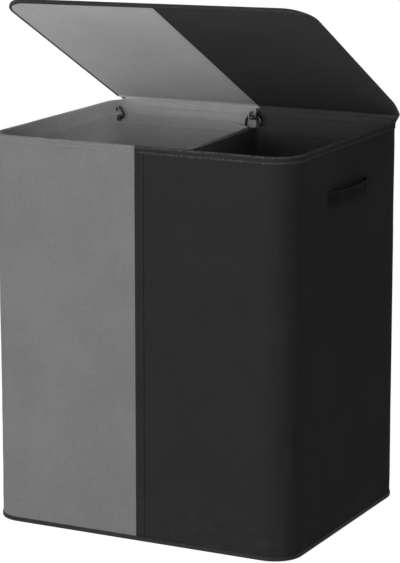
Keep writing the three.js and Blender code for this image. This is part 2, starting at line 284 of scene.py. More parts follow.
@dataclass(frozen=True)
class WallPlan:
    """Half of the shell's plan, by distance from the middle of the front to that of the back."""

    half_width: float = 268 * MM
    half_depth: float = 220 * MM
    radius: float = 46 * MM
    straight_step: float = 9 * MM
    corner_step: float = 4 * MM
    corner_reach: float = 26 * MM

    @property
    def marks(self) -> np.ndarray:
        """Distances where the front, the corners, the side and the back begin and end.

        Returns:
            Six distances from the middle of the front, in rising order.
        """
        straight = self.half_width - self.radius
        turn = self.radius * math.pi / 2
        side = 2 * (self.half_depth - self.radius)
        return np.cumsum([0, straight, turn, side, turn, straight])

    def run(self, hand: Hand, along: np.ndarray) -> Run:
        """The plan line of one half.

        Args:
            hand: Which half.
            along: Distances from the front seam.

        Returns:
            The line through those distances.
        """
        marks = self.marks
        turn = np.clip((along - marks[1]) / self.radius, 0, math.pi / 2)
        turn = turn + np.clip((along - marks[3]) / self.radius, 0, math.pi / 2)
        angle = turn - math.pi / 2
        centre_x = np.minimum(along, marks[1]) - np.clip(along - marks[4], 0, None)
        centre_y = self.radius - self.half_depth + np.clip(along - marks[2], 0, marks[3] - marks[2])
        outward = np.stack([hand.value * np.cos(angle), np.sin(angle)], 1)
        points = np.stack([hand.value * centre_x, centre_y], 1) + self.radius * outward
        return Run(points, outward, along)

    def columns(self, margin: float, *extra: float) -> np.ndarray:
        """Distances for the columns of a cloth round one half.

        Args:
            margin: The gap from each seam to the cloth's edge.
            extra: Further distances that need a column.

        Returns:
            The distances.
        """
        marks = self.marks
        first, last = margin, marks[-1] - margin
        flats = sorted({first, first + SELVEDGE, *extra, *marks[1:-1], last - SELVEDGE, last})
        columns = spaced(self.straight_step, *flats)
        turns = [spaced(self.corner_step, *marks[i : i + 2]) for i in (1, 3)]
        return np.unique(np.concatenate([columns, *turns]).round(DECIMALS))

    def corner_share(self, along: Numbers) -> np.ndarray:
        """How far a place is in a rounded corner: 0 on the flats, 1 in the middle of a turn.

        Args:
            along: Distances from the front seam.

        Returns:
            The share for each distance.
        """
        marks = self.marks
        return sum(bump_at(along, (marks[i] + marks[i + 1]) / 2, self.corner_reach)
                   for i in (1, 3))


def rounded_ring(low: Sequence[float], high: Sequence[float], radius: float,
                 step: float = 9 * MM, turns: int = 12, back_radius: float | None = None) -> Run:
    """A closed rounded rectangle in plan.

    Args:
        low: Its lowest X and Y.
        high: Its highest X and Y.
        radius: The radius of its corners.
        step: The widest gap between points on its straight sides.
        turns: How many steps a corner has.
        back_radius: The radius of its two corners at the back, if it is another one.

    Returns:
        The line, anticlockwise from the middle of the front.
    """
    points, outward = [], []
    corners = [(high[0], low[1], -1, 1), (high[0], high[1], -1, -1),
               (low[0], high[1], 1, -1), (low[0], low[1], 1, 1)]
    radii = (radius, back_radius or radius, back_radius or radius, radius)
    for index, (x, y, towards_x, towards_y) in enumerate(corners):
        centre = np.array([x + towards_x * radii[index], y + towards_y * radii[index]])
        angle = -math.pi / 2 + index * math.pi / 2 + np.linspace(0, math.pi / 2, turns + 1)
        outward.append(np.stack([np.cos(angle), np.sin(angle)], 1))
        points.append(centre + radii[index] * outward[-1])
    line, facing = [], []
    for index in range(4):
        here, ahead = points[index], points[(index + 1) % 4]
        line.append(here)
        facing.append(outward[index])
        gap = np.linalg.norm(ahead[0] - here[-1])
        share = np.linspace(0, 1, max(2, math.ceil(gap / step)) + 1)[1:-1, None]
        line.append(here[-1] + (ahead[0] - here[-1]) * share)
        facing.append(np.repeat(outward[index][-1:], len(share), 0))
    ring, facing = np.concatenate(line), np.concatenate(facing)
    along = lengths_along(np.concatenate([ring, ring[:1]]))
    return Run(ring, facing, along, closed=True)


def woven(name: str, points: np.ndarray, cloth: np.ndarray, keep: np.ndarray | None = None,
          closed: bool = False, flip: bool = False, worn: np.ndarray | None = None,
          ) -> bpy.types.Object:
    """A cloth surface from a grid of points, with its threads' coordinates.

    Args:
        name: The piece's name.
        points: Rows, columns and three coordinates.
        cloth: Rows, columns and the two lengths along the threads. A closed grid has one
            column more of these than of points.
        keep: Which cells stay, where the cloth has holes.
        closed: Whether the last column joins the first.
        flip: Whether the outer face is the other one.
        worn: How worn each point is, from 0 to 1; on the rim hem this marks painted highlights.

    Returns:
        The object, linked to the scene.
    """
    rows, columns = points.shape[:2]
    index = np.arange(rows * columns).reshape(rows, columns)
    if closed:
        index = np.concatenate([index, index[:, :1]], 1)
    turn = [0, 3, 2, 1] if flip else [0, 1, 2, 3]

    def cells(grid: np.ndarray) -> np.ndarray:
        """The four corners of each cell of a grid."""
        ring = (grid[:-1, :-1], grid[:-1, 1:], grid[1:, 1:], grid[1:, :-1])
        return np.stack([ring[i] for i in turn], 2)

    faces, corners = cells(index), cells(cloth)
    if keep is not None:
        faces, corners = faces[keep], corners[keep]
    faces, corners = faces.reshape(-1, 4), corners.reshape(-1, 2)
    used, faces = np.unique(faces, return_inverse=True)
    mesh = bpy.data.meshes.new(name)
    mesh.from_pydata(points.reshape(-1, 3)[used].tolist(), [], faces.reshape(-1, 4).tolist())
    layer = mesh.uv_layers.new(name=PLACE)
    layer.uv.foreach_set("vector", corners.astype(np.float32).ravel())
    if worn is not None:
        rubbed = np.broadcast_to(worn, (rows, columns)).reshape(-1)[used]
        mesh.attributes.new(WORN_AND_HIGHLIT, "FLOAT", "POINT").data.foreach_set(
            "value", rubbed.astype(np.float32))
    return linked(name, mesh)


def linked(name: str, mesh: bpy.types.Mesh) -> bpy.types.Object:
    """A smooth-shaded object of a mesh, linked to the scene.

    Args:
        name: The piece's name.
        mesh: Its mesh.

    Returns:
        The object.
    """
    mesh.shade_smooth()
    piece = bpy.data.objects.new(name, mesh)
    bpy.context.scene.collection.objects.link(piece)
    return piece


def thicken(piece: bpy.types.Object, thickness: float, offset: float = -1.0) -> bpy.types.Object:
    """Gives a cloth surface its thickness, inwards unless told otherwise.

    Args:
        piece: The surface.
        thickness: Its thickness.
        offset: Which way it grows: -1 inwards, 0 both ways, 1 outwards.

    Returns:
        The same object.
    """
    solid = piece.modifiers.new("Cloth thickness", "SOLIDIFY")
    solid.thickness, solid.offset = thickness, offset
    return piece


def join_doubles(piece: bpy.types.Object) -> None:
    """Joins the points of a mesh that lie on each other, and drops faces without area.

    Args:
        piece: The object whose mesh is cleaned.
    """
    same_place, no_length = 0.02 * MM, 0.01 * MM
    work = bmesh.new()
    work.from_mesh(piece.data)
    bmesh.ops.remove_doubles(work, verts=work.verts, dist=same_place)
    bmesh.ops.dissolve_degenerate(work, edges=work.edges, dist=no_length)
    work.to_mesh(piece.data)
    work.free()


def banded(name: str, run: Run, inset: Numbers, height: Numbers, flip: bool = False,
           worn: np.ndarray | None = None, place: Callable | None = None) -> bpy.types.Object:
    """A band of cloth that follows a line, from the inset and height of each of its rows.

    Args:
        name: The piece's name.
        run: The line.
        inset: Distances in from the line, a row or a grid.
        height: Heights in the same form.
        flip: Whether the outer face is the other one.
        worn: How worn each point is; on the rim hem this marks painted highlights.
        place: What carries the points to their frame, if they aren't there yet.

    Returns:
        The object.
    """
    points = run.place(inset, height)
    cloth = paired(run.along[None], lengths_along(points[:, 0])[:, None])
    points = points if place is None else place(points)
    return woven(name, points, cloth, closed=run.closed, flip=flip, worn=worn)


def swept(name: str, centres: np.ndarray, first: np.ndarray, second: np.ndarray,
          section: np.ndarray, scale: Numbers = 1.0) -> bpy.types.Object:
    """A closed section carried along a line, with both ends capped.

    Args:
        name: The piece's name.
        centres: The line's points.
        first: The direction of the section's first coordinate at each point.
        second: The direction of its second coordinate at each point.
        section: The section's points, as two coordinates.
        scale: How the section grows along the line, a number or one a point.

    Returns:
        The object.
    """
    grown = np.broadcast_to(np.asarray(scale, float).reshape(-1, 1, 1), (len(centres), 1, 1))
    points = (centres[:, None] + first[:, None] * section[None, :, :1] * grown
              + second[:, None] * section[None, :, 1:] * grown)
    around = lengths_along(np.concatenate([section, section[:1]]))
    cloth = paired(lengths_along(centres)[:, None], around[None])
    piece = woven(name, points, cloth, closed=True)
    mesh = piece.data
    count = len(section)
    ends = [list(range(count))[::-1], list(range(len(points) * count - count, len(points) * count))]
    verts = [v.co.copy() for v in mesh.vertices]
    faces = [list(p.vertices) for p in mesh.polygons] + ends
    places = np.empty(len(mesh.loops) * 2, np.float32)
    mesh.uv_layers[PLACE].uv.foreach_get("vector", places)
    mesh.clear_geometry()
    mesh.from_pydata(verts, [], faces)
    layer = mesh.uv_layers.get(PLACE) or mesh.uv_layers.new(name=PLACE)
    layer.uv.foreach_set("vector", np.concatenate([places, np.zeros(4 * count, np.float32)]))
    mesh.shade_smooth()
    return piece


def rounded_section(width: float, thickness: float, radius: float, steps: int = 4) -> np.ndarray:
    """A flat section with rounded edges: thickness first, width second.

    Args:
        width: Its width.
        thickness: Its thickness.
        radius: The radius of its edges.
        steps: How many steps a rounded edge has.

    Returns:
        Its points, in order.
    """
    ring = rounded_ring((-thickness / 2, -width / 2), (thickness / 2, width / 2), radius,
                        step=width / 8, turns=steps)
    return ring.points


def apart(line: np.ndarray) -> np.ndarray:
    """A line without the points that repeat the one before."""
    return line[np.diff(lengths_along(line), prepend=-1) > SAME_PLACE]


def eased(points: np.ndarray, radius: float, steps: int = 5) -> np.ndarray:
    """A line whose corners are rounded off.

    Args:
        points: The line's corners.
        radius: How far before and after a corner the rounding reaches.
        steps: How many steps a rounding has.

    Returns:
        The new line.
    """
    line = [points[0]]
    for before, here, after in zip(points, points[1:], points[2:]):
        entry, leave = here - before, after - here
        reach = min(radius, np.linalg.norm(entry) / 2, np.linalg.norm(leave) / 2)
        start = here - entry / np.linalg.norm(entry) * reach
        stop = here + leave / np.linalg.norm(leave) * reach
        for share in np.linspace(0, 1, steps + 1):
            line.append((1 - share) ** 2 * start + 2 * share * (1 - share) * here
                        + share ** 2 * stop)
    return np.array([*line, points[-1]])


@dataclass(frozen=True)
class Sewing:
    """Lockstitch rows: thread stitches that dip into the cloth at both ends."""

    pitch: float = 4.2 * MM
    length: float = 3.3 * MM
    radius: float = 0.3 * MM
    sides: int = 5
    # Where each ring of a stitch lies, its width and its lift off the cloth, as shares
    rings: tuple = ((-1, 0, -1.1), (-0.78, 0.8, -0.2), (-0.3, 1, 0.45),
                    (0.3, 1, 0.45), (0.78, 0.8, -0.2), (1, 0, -1.1))

    def row(self, line: np.ndarray, outward: np.ndarray) -> tuple[np.ndarray, ...]:
        """Where the stitches of one row lie.

        Args:
            line: Points along the row.
            outward: The cloth's outward direction at each.

        Returns:
            Middles, directions along the row and outward directions, one of each a stitch.
        """
        along = lengths_along(line)
        count = max(1, round(along[-1] / self.pitch))
        at = (np.arange(count) + 0.5) * along[-1] / count
        half = self.length / 2
        ahead = unit(read_along(line, along, at + half) - read_along(line, along, at - half))
        facing = read_along(outward, along, at)
        facing = unit(facing - (facing * ahead).sum(1, keepdims=True) * ahead)
        return read_along(line, along, at), ahead, facing

    def sew(self, name: str, rows: Sequence[tuple[np.ndarray, np.ndarray]]) -> bpy.types.Object:
        """One piece that holds all the stitches of some rows.

        Args:
            name: The piece's name.
            rows: A line and its outward directions for each row.

        Returns:
            The object.
        """
        middles, ahead, facing = (
            np.concatenate(x) for x in zip(*(self.row(line, out) for line, out in rows)))
        beside = np.cross(ahead, facing)
        scales = np.array([self.length / 2, self.radius, self.radius])
        rings = []
        for along, radius, rise in np.array(self.rings) * scales:
            spots = unit_circle(self.sides)[None, :self.sides if radius else 1, :, None]
            rings.append(
                middles[:, None] + ahead[:, None] * along + facing[:, None] * rise
                + radius * (beside[:, None] * spots[:, :, 0] + facing[:, None] * spots[:, :, 1]))
        points = np.concatenate(rings, 1)
        mesh = bpy.data.meshes.new(name)
        pattern = self.stitch_faces()
        each = points.shape[1]
        faces = [[i + each * n for i in face] for n in range(len(middles)) for face in pattern]
        mesh.from_pydata(points.reshape(-1, 3).tolist(), [], faces)
        return linked(name, mesh)

    def stitch_faces(self) -> list[list[int]]:
        """The faces of one stitch, by the numbers of its points.

        Returns:
            The point numbers of each face.
        """
        sides, rings = self.sides, len(self.rings) - 2
        last = 1 + rings * sides
        faces = []
        for i in range(sides):
            j = (i + 1) % sides
            faces.append([0, 1 + j, 1 + i])
            for ring in range(rings - 1):
                here, after = 1 + ring * sides, 1 + (ring + 1) * sides
                faces.append([here + i, here + j, after + j, after + i])
            faces.append([last, last - sides + i, last - sides + j])
        return faces


class Wiring:
    """Adds nodes to one tree and joins them."""

    def __init__(self, tree: bpy.types.NodeTree) -> None:
        """Starts on an empty tree."""
        self.tree = tree

    def add(self, kind: str, **settings: object) -> bpy.types.Node:
        """A new node, with some of its settings.

        Args:
            kind: The node type without its ShaderNode start.
            settings: Properties of the node.

        Returns:
            The node.
        """
        node = self.tree.nodes.new("ShaderNode" + kind)
        for name, value in settings.items():
            setattr(node, name, value)
        return node

    def feed(self, socket: bpy.types.NodeSocket, value: object) -> None:
        """Joins a socket to another, or sets its value.

        Args:
            socket: The input.
            value: A socket or a value.
        """
        if isinstance(value, bpy.types.NodeSocket):
            self.tree.links.new(value, socket)
        else:
            socket.default_value = value

    def math(self, operation: str, *values: object, clamp: bool = False) -> bpy.types.NodeSocket:
        """The result of one sum on numbers or sockets.

        Args:
            operation: Blender's name of the sum.
            values: Numbers or sockets, in the order of the inputs.
            clamp: Whether the result is kept between 0 and 1.

        Returns:
            The result.
        """
        node = self.add("Math", operation=operation, use_clamp=clamp)
        for socket, value in zip(node.inputs, values):
            self.feed(socket, value)
        return node.outputs[0]

    def ramp(self, value: object, low: float, high: float, to_low: float = 0.0,
             to_high: float = 1.0) -> bpy.types.NodeSocket:
        """A smooth step from one range to another.

        Args:
            value: A number or a socket.
            low: Where the step starts.
            high: Where it ends.
            to_low: The result up to the start.
            to_high: The result from the end on.

        Returns:
            The result.
        """
        node = self.add("MapRange", interpolation_type="SMOOTHSTEP")
        for socket, number in zip(node.inputs, (value, low, high, to_low, to_high)):
            self.feed(socket, number)
        return node.outputs[0]

    def noise(self, place: object, scale: float, detail: float = 2.0,
              roughness: float = 0.5) -> bpy.types.NodeSocket:
        """A noise of that many waves a metre.

        Args:
            place: Where to read it.
            scale: Waves a metre.
            detail: How many finer waves are added.
            roughness: How much the finer waves count.

        Returns:
            Its value, from 0 to 1.
        """
        node = self.add("TexNoise")
        self.feed(node.inputs["Vector"], place)
        self.feed(node.inputs["Scale"], scale)
        self.feed(node.inputs["Detail"], detail)
        self.feed(node.inputs["Roughness"], roughness)
        return node.outputs["Fac"]

    def scaled(self, place: object, factors: Sequence[float]) -> bpy.types.NodeSocket:
        """A place stretched by three factors.

        Args:
            place: The place.
            factors: One factor for each axis.

        Returns:
            The stretched place.
        """
        node = self.add("VectorMath", operation="MULTIPLY")
        self.feed(node.inputs[0], place)
        self.feed(node.inputs[1], tuple(factors))
        return node.outputs[0]

    def blend(self, share: object, first: object, second: object) -> bpy.types.NodeSocket:
        """A colour between two.

        Args:
            share: The share of the second colour.
            first: A colour or a socket.
            second: A colour or a socket.

        Returns:
            The colour.
        """
        node = self.add("Mix", data_type="RGBA")
        self.feed(node.inputs["Factor"], share)
        for socket, colour in ((node.inputs[6], first), (node.inputs[7], second)):
            self.feed(socket, colour if isinstance(colour, bpy.types.NodeSocket) else (*colour, 1))
        return node.outputs[2]

    def bump(self, height: object, distance: float, below: object = None) -> bpy.types.NodeSocket:
        """A normal bent by a height, on top of another.

        Args:
            height: The height, from 0 to 1.
            distance: What a height of 1 stands for.
            below: The normal that it bends, if it isn't the surface's own.

        Returns:
            The normal.
        """
        node = self.add("Bump")
        node.inputs["Distance"].default_value = distance
        self.feed(node.inputs["Height"], height)
        if below is not None:
            self.feed(node.inputs["Normal"], below)
        return node.outputs["Normal"]


class Effects:
    """The shared effects, each one node group that is built once."""

    # Noises: waves a metre, detail and, where it isn't an even one, roughness
    THREAD_NOISE = (900, 1.0)
    TAPE_NOISE = (1400, 1.0)
    BROAD_DYE = (9, 3.0, 0.55)
    CLOSE_DYE = (130, 3.0, 0.6)
    SPECKS = (620, 1.0)
    DUST_PATCHES = (55, 4.0, 0.65)
    WORN_FIBRES = (260, 4.0, 0.7)
    # How much of a thread's height comes from its dive under the next, and from its roundness
    DIVE, ROUNDNESS = 0.3, 0.7
    # How far the unevenness of a thread is drawn out along it, and its share of the height
    THREAD_STRETCH, THREAD_SHARE = 0.03, 0.35
    TAPE_STRETCH, TAPE_SHARE = 0.25, 0.3
    CLOSE_DYE_SHARE = 0.4
    # From where to where a value turns into an effect
    # The low places of the weave and of the ribs, which get painted shade
    WEAVE_PAINTED_SHADE = (0.75, 0.35)
    TAPE_PAINTED_SHADE = (0.7, 0.25)
    SPECK_START = (0.62, 0.78)
    FACES_UP = (0.35, 1.0)
    LOW_DOWN = (0.16, 0.0, 0.0, 0.5)
    DUST_START = (0.38, 0.72)
    WEAR_START = (0.35, 0.7)

    @staticmethod
    def group(name: str, inputs: dict[str, tuple[str, object]], outputs: Sequence[str],
              build: Callable[[Wiring, dict], dict]) -> bpy.types.NodeTree:
        """A node group of that name, built if it isn't there yet.

        Args:
            name: The group's name.
            inputs: The socket kind and default of each input.
            outputs: The names of the outputs, all plain values.
            build: Makes the nodes from the inputs, and returns what feeds each output.

        Returns:
            The group.
        """
        if name in bpy.data.node_groups:
            return bpy.data.node_groups[name]
        tree = bpy.data.node_groups.new(name, "ShaderNodeTree")
        for label, (kind, default) in inputs.items():
            socket = tree.interface.new_socket(label, in_out="INPUT", socket_type=kind)
            if default is not None:
                socket.default_value = default
        for label in outputs:
            tree.interface.new_socket(label, in_out="OUTPUT", socket_type="NodeSocketFloat")
        wiring = Wiring(tree)
        entry = tree.nodes.new("NodeGroupInput")
        leave = tree.nodes.new("NodeGroupOutput")
        made = build(wiring, {label: entry.outputs[label] for label in inputs})
        for label, socket in made.items():
            wiring.feed(leave.inputs[label], socket)
        return tree

    @classmethod
    def weave(cls) -> bpy.types.NodeTree:
        """Plain weave: thread height, thread variation, and a mask of the low gaps between threads
        where shade is painted.

        Returns:
            The node group.
        """

        def build(w: Wiring, given: dict) -> dict:
            """The nodes of the weave."""
            parts = w.add("SeparateXYZ")
            w.feed(parts.inputs[0], given["Place"])
            across, along = (w.math("DIVIDE", parts.outputs[i], given["Pitch"]) for i in (0, 1))
            waves = [w.math("SINE", w.math("MULTIPLY", x, math.pi)) for x in (across, along)]
            signs = [w.math("SIGN", x) for x in waves]
            rounds = [w.math("SQRT", w.math("ABSOLUTE", x)) for x in waves]
            over = w.math("MULTIPLY", waves[1], signs[0])
            under = w.math("MULTIPLY", waves[0], signs[1])
            warp, weft = (
                w.math("MULTIPLY_ADD", dive, share, w.math("MULTIPLY", height, cls.ROUNDNESS))
                for dive, share, height in ((over, cls.DIVE, rounds[0]),
                                            (under, -cls.DIVE, rounds[1])))
            top = w.math("GREATER_THAN", warp, weft)
            long_way, cross_way = (
                w.noise(w.scaled(given["Place"], stretch), *cls.THREAD_NOISE)
                for stretch in ((1, cls.THREAD_STRETCH, 1), (cls.THREAD_STRETCH, 1, 1)))
            spread = w.math("SUBTRACT", long_way, cross_way)
            thread = w.math("MULTIPLY_ADD", spread, top, cross_way)
            height = w.math("MAXIMUM", warp, weft)
            return {"Height": w.math("MULTIPLY_ADD", thread, cls.THREAD_SHARE, height),
                    "Thread": thread, "Gap": w.ramp(height, *cls.WEAVE_PAINTED_SHADE)}

        return cls.group("Plain weave", {
            "Place": ("NodeSocketVector", None), "Pitch": ("NodeSocketFloat", 0.0007)},
            ("Height", "Thread", "Gap"), build)

    @classmethod
    def ribs(cls) -> bpy.types.NodeTree:
        """Woven tape: slanting ribs that turn back in blocks, their height, and a mask of the
        grooves between them where shade is painted.

        Returns:
            The node group.
        """

        def build(w: Wiring, given: dict) -> dict:
            """The nodes of the ribs."""
            parts = w.add("SeparateXYZ")
            w.feed(parts.inputs[0], given["Place"])
            along, across = (w.math("DIVIDE", parts.outputs[i], given["Pitch"]) for i in (0, 1))
            fold = w.math("PINGPONG", across, given["Block"])
            wave = w.math("SINE", w.math("MULTIPLY", w.math("ADD", along, fold), math.pi))
            height = w.math("SQRT", w.math("ABSOLUTE", wave))
            thread = w.noise(w.scaled(given["Place"], (1, cls.TAPE_STRETCH, 1)), *cls.TAPE_NOISE)
            return {"Height": w.math("MULTIPLY_ADD", thread, cls.TAPE_SHARE, height),
                    "Thread": thread, "Gap": w.ramp(height, *cls.TAPE_PAINTED_SHADE)}

        return cls.group("Tape ribs", {
            "Place": ("NodeSocketVector", None), "Pitch": ("NodeSocketFloat", 0.001),
            "Block": ("NodeSocketFloat", 6.0)}, ("Height", "Thread", "Gap"), build)

    @classmethod
    def mottle(cls) -> bpy.types.NodeTree:
        """Unevenness of dye: broad cloudy tone, and fine specks.

        Returns:
            The node group.
        """

        def build(w: Wiring, given: dict) -> dict:
            """The nodes of the mottle."""
            broad = w.noise(given["Place"], *cls.BROAD_DYE)
            close = w.noise(given["Place"], *cls.CLOSE_DYE)
            tone = w.math("MULTIPLY_ADD", close, cls.CLOSE_DYE_SHARE,
                          w.math("MULTIPLY", broad, 1 - cls.CLOSE_DYE_SHARE))
            specks = w.noise(given["Place"], *cls.SPECKS)
            return {"Tone": tone, "Speck": w.ramp(specks, *cls.SPECK_START)}

        return cls.group("Dye mottle", {"Place": ("NodeSocketVector", None)},
                         ("Tone", "Speck"), build)

    @classmethod
    def dust(cls) -> bpy.types.NodeTree:
        """Light dust: on what faces up, and low down near the floor.

        Returns:
            The node group.
        """

        def build(w: Wiring, given: dict) -> dict:
            """The nodes of the dust."""
            facing, place = w.add("SeparateXYZ"), w.add("SeparateXYZ")
            w.feed(facing.inputs[0], w.add("NewGeometry").outputs["Normal"])
            w.feed(place.inputs[0], given["Place"])
            upward = w.ramp(facing.outputs[2], *cls.FACES_UP)
            low = w.ramp(place.outputs[2], *cls.LOW_DOWN)
            patchy = w.ramp(w.noise(given["Place"], *cls.DUST_PATCHES), *cls.DUST_START)
            both = w.math("MAXIMUM", upward, low)
            return {"Dust": w.math("MULTIPLY", w.math("MULTIPLY", both, patchy), given["Amount"])}

        return cls.group("Settled dust", {
            "Place": ("NodeSocketVector", None), "Amount": ("NodeSocketFloat", 0.1)},
            ("Dust",), build)

    @classmethod
    def wear(cls) -> bpy.types.NodeTree:
        """Rubbed fibres where the mesh says that an edge is worn, and painted highlights where it
        marks them on the rim hem, broken up by fine noise.

        Returns:
            The node group.
        """

        def build(w: Wiring, given: dict) -> dict:
            """The nodes of the wear."""
            worn = w.add("Attribute", attribute_name=WORN_AND_HIGHLIT)
            broken = w.ramp(w.noise(given["Place"], *cls.WORN_FIBRES), *cls.WEAR_START)
            return {"Wear": w.math("MULTIPLY", w.math("MULTIPLY", worn.outputs["Fac"], broken),
                                   given["Amount"])}

        return cls.group("Edge wear", {
            "Place": ("NodeSocketVector", None), "Amount": ("NodeSocketFloat", 0.5)},
            ("Wear",), build)


@dataclass(frozen=True)
class Finish:
    """What every finish has: a name, a colour and its nodes."""

    name: str
    colour: Colour

    def material(self) -> bpy.types.Material:
        """The material of this finish, made once.

        Returns:
            The material.
        """
        if self.name in bpy.data.materials:
            return bpy.data.materials[self.name]
        made = bpy.data.materials.new(self.name)
        made.use_nodes = True
        wiring = Wiring(made.node_tree)
        shader = made.node_tree.nodes["Principled BSDF"]
        self.wire(wiring, shader)
        return made

    def wire(self, w: Wiring, shader: bpy.types.Node) -> None:
        """Joins this finish's nodes to the shader."""
        raise NotImplementedError

    @staticmethod
    def effect(w: Wiring, tree: bpy.types.NodeTree, **inputs: object) -> bpy.types.Node:
        """Places a shared effect, with its own values.

        Args:
            w: The wiring of the tree.
            tree: The effect's node group.

        Returns:
            The node that holds it.
        """
        node = w.add("Group", node_tree=tree)
        for label, value in inputs.items():
            w.feed(node.inputs[label], value)
        return node

    @staticmethod
    def own_place(w: Wiring) -> bpy.types.NodeSocket:
        """Coordinates of the piece itself, in metres."""
        return w.add("TexCoord").outputs["Object"]

    def shade(self, factor: float) -> Colour:
        """This finish's colour, lighter or darker."""
        return tuple(min(1.0, c * factor) for c in self.colour)


@dataclass(frozen=True)
class ClothFinish(Finish):
    """Plain woven cloth with a soft nap."""

    pitch: float = 0.62 * MM
    relief: float = 0.10 * MM
    roughness: float = 0.86
    specular: float = 0.12
    sheen: float = 0.05
    variation: float = 0.16
    dust: float = 0.10
    dust_colour: Colour = (0.42, 0.41, 0.40)
    wear: float = 0.35
    rubbed: float = 1.7
    tone_span: tuple = (0.35, 0.65)
    thread_share: float = 0.6
    # Painted shade in the gaps between threads: how much, and how dark
    gap_share: float = 0.5
    gap_shade: float = 0.45
    speck_share: float = 0.12
    speck_shade: float = 1.8
    rough_span: tuple = (0.2, 0.8)
    rough_swing: float = 0.06
    sheen_roughness: float = 0.45
    cloud_relief: float = 0.9 * MM

    def wire(self, w: Wiring, shader: bpy.types.Node) -> None:
        """Weave with painted shade between its threads, dye, dust, and rubbed edges, which on the
        rim hem are painted highlights, over the shader.

        Args:
            w: The wiring of the tree.
            shader: The shader that gets the values.
        """
        cloth = w.add("UVMap", uv_map=PLACE).outputs[0]
        place = self.own_place(w)
        weave = self.effect(w, Effects.weave(), Place=cloth, Pitch=self.pitch).outputs
        dye = self.effect(w, Effects.mottle(), Place=place).outputs
        dust = self.effect(w, Effects.dust(), Place=place, Amount=self.dust).outputs
        wear = self.effect(w, Effects.wear(), Place=place, Amount=self.wear).outputs
        span = self.variation
        light, dark = self.shade(1 + span), self.shade(1 - span)
        tone = w.ramp(dye["Tone"], *self.tone_span)
        thread = w.math("MULTIPLY_ADD", weave["Thread"], self.thread_share,
                        w.math("MULTIPLY", tone, 1 - self.thread_share))
        colour = w.blend(thread, dark, light)
        # Painted shade in the gaps between threads, and lighter specks of dye
        for effect, share, shade in ((weave["Gap"], self.gap_share, self.gap_shade),
                                     (dye["Speck"], self.speck_share, self.speck_shade)):
            colour = w.blend(w.math("MULTIPLY", effect, share), colour, self.shade(shade))
        colour = w.blend(wear["Wear"], colour, self.shade(self.rubbed))
        colour = w.blend(dust["Dust"], colour, self.dust_colour)
        w.feed(shader.inputs["Base Color"], colour)
        rough = w.ramp(thread, *self.rough_span, self.roughness - self.rough_swing,
                       self.roughness + self.rough_swing)
        w.feed(shader.inputs["Roughness"], rough)
        shader.inputs["Specular IOR Level"].default_value = self.specular
        shader.inputs["Sheen Weight"].default_value = self.sheen
        shader.inputs["Sheen Roughness"].default_value = self.sheen_roughness
        cloudy = w.bump(dye["Tone"], self.cloud_relief)
        w.feed(shader.inputs["Normal"], w.bump(weave["Height"], self.relief, cloudy))


@dataclass(frozen=True)
class TapeFinish(Finish):
    """Ribbed woven tape and webbing."""

    pitch: float = 0.9 * MM
    ribs: Ribs = Ribs.HERRINGBONE
    relief: float = 0.22 * MM
    roughness: float = 0.72
    specular: float = 0.15
    sheen: float = 0.02
    dust: float = 0.05
    dust_colour: Colour = (0.4, 0.39, 0.38)
    wear: float = 0.5
    rubbed: float = 2.2
    thread_shades: tuple = (0.75, 1.3)
    # Painted shade in the grooves between ribs: how much, and how dark
    gap_share: float = 0.6
    gap_shade: float = 0.35
    rough_span: tuple = (0.3, 0.7)
    rough_swing: float = 0.08

    def wire(self, w: Wiring, shader: bpy.types.Node) -> None:
        """Ribs with painted shade in their grooves, dust and rubbed edges over the shader.

        Args:
            w: The wiring of the tree.
            shader: The shader that gets the values.
        """
        cloth = w.add("UVMap", uv_map=PLACE).outputs[0]
        place = self.own_place(w)
        ribs = self.effect(w, Effects.ribs(), Place=cloth, Pitch=self.pitch,
                           Block=self.ribs.value).outputs
        dye = self.effect(w, Effects.mottle(), Place=place).outputs
        dust = self.effect(w, Effects.dust(), Place=place, Amount=self.dust).outputs
        wear = self.effect(w, Effects.wear(), Place=place, Amount=self.wear).outputs
        colour = w.blend(ribs["Thread"], *map(self.shade, self.thread_shades))
        # Painted shade in the grooves between the ribs
        colour = w.blend(w.math("MULTIPLY", ribs["Gap"], self.gap_share), colour,
                         self.shade(self.gap_shade))
        colour = w.blend(wear["Wear"], colour, self.shade(self.rubbed))
        colour = w.blend(dust["Dust"], colour, self.dust_colour)
        w.feed(shader.inputs["Base Color"], colour)
        rough = w.ramp(dye["Tone"], *self.rough_span, self.roughness - self.rough_swing,
                       self.roughness + self.rough_swing)
        w.feed(shader.inputs["Roughness"], rough)
        shader.inputs["Specular IOR Level"].default_value = self.specular
        shader.inputs["Sheen Weight"].default_value = self.sheen
        w.feed(shader.inputs["Normal"], w.bump(ribs["Height"], self.relief))


@dataclass(frozen=True)
class ThreadFinish(Finish):
    """Twisted sewing thread."""

    twist: float = 900.0
    shades: tuple = (0.7, 1.35)
    roughness: tuple = (0.3, 0.7, 0.5, 0.68)
    specular: float = 0.12
    relief: float = 0.1 * MM

    def wire(self, w: Wiring, shader: bpy.types.Node) -> None:
        """Fine twist along the thread.

        Args:
            w: The wiring of the tree.
            shader: The shader that gets the values.
        """
        place = self.own_place(w)
        strands = w.noise(place, self.twist)
        w.feed(shader.inputs["Base Color"], w.blend(strands, *map(self.shade, self.shades)))
        w.feed(shader.inputs["Roughness"], w.ramp(strands, *self.roughness))
        shader.inputs["Specular IOR Level"].default_value = self.specular
        w.feed(shader.inputs["Normal"], w.bump(strands, self.relief))


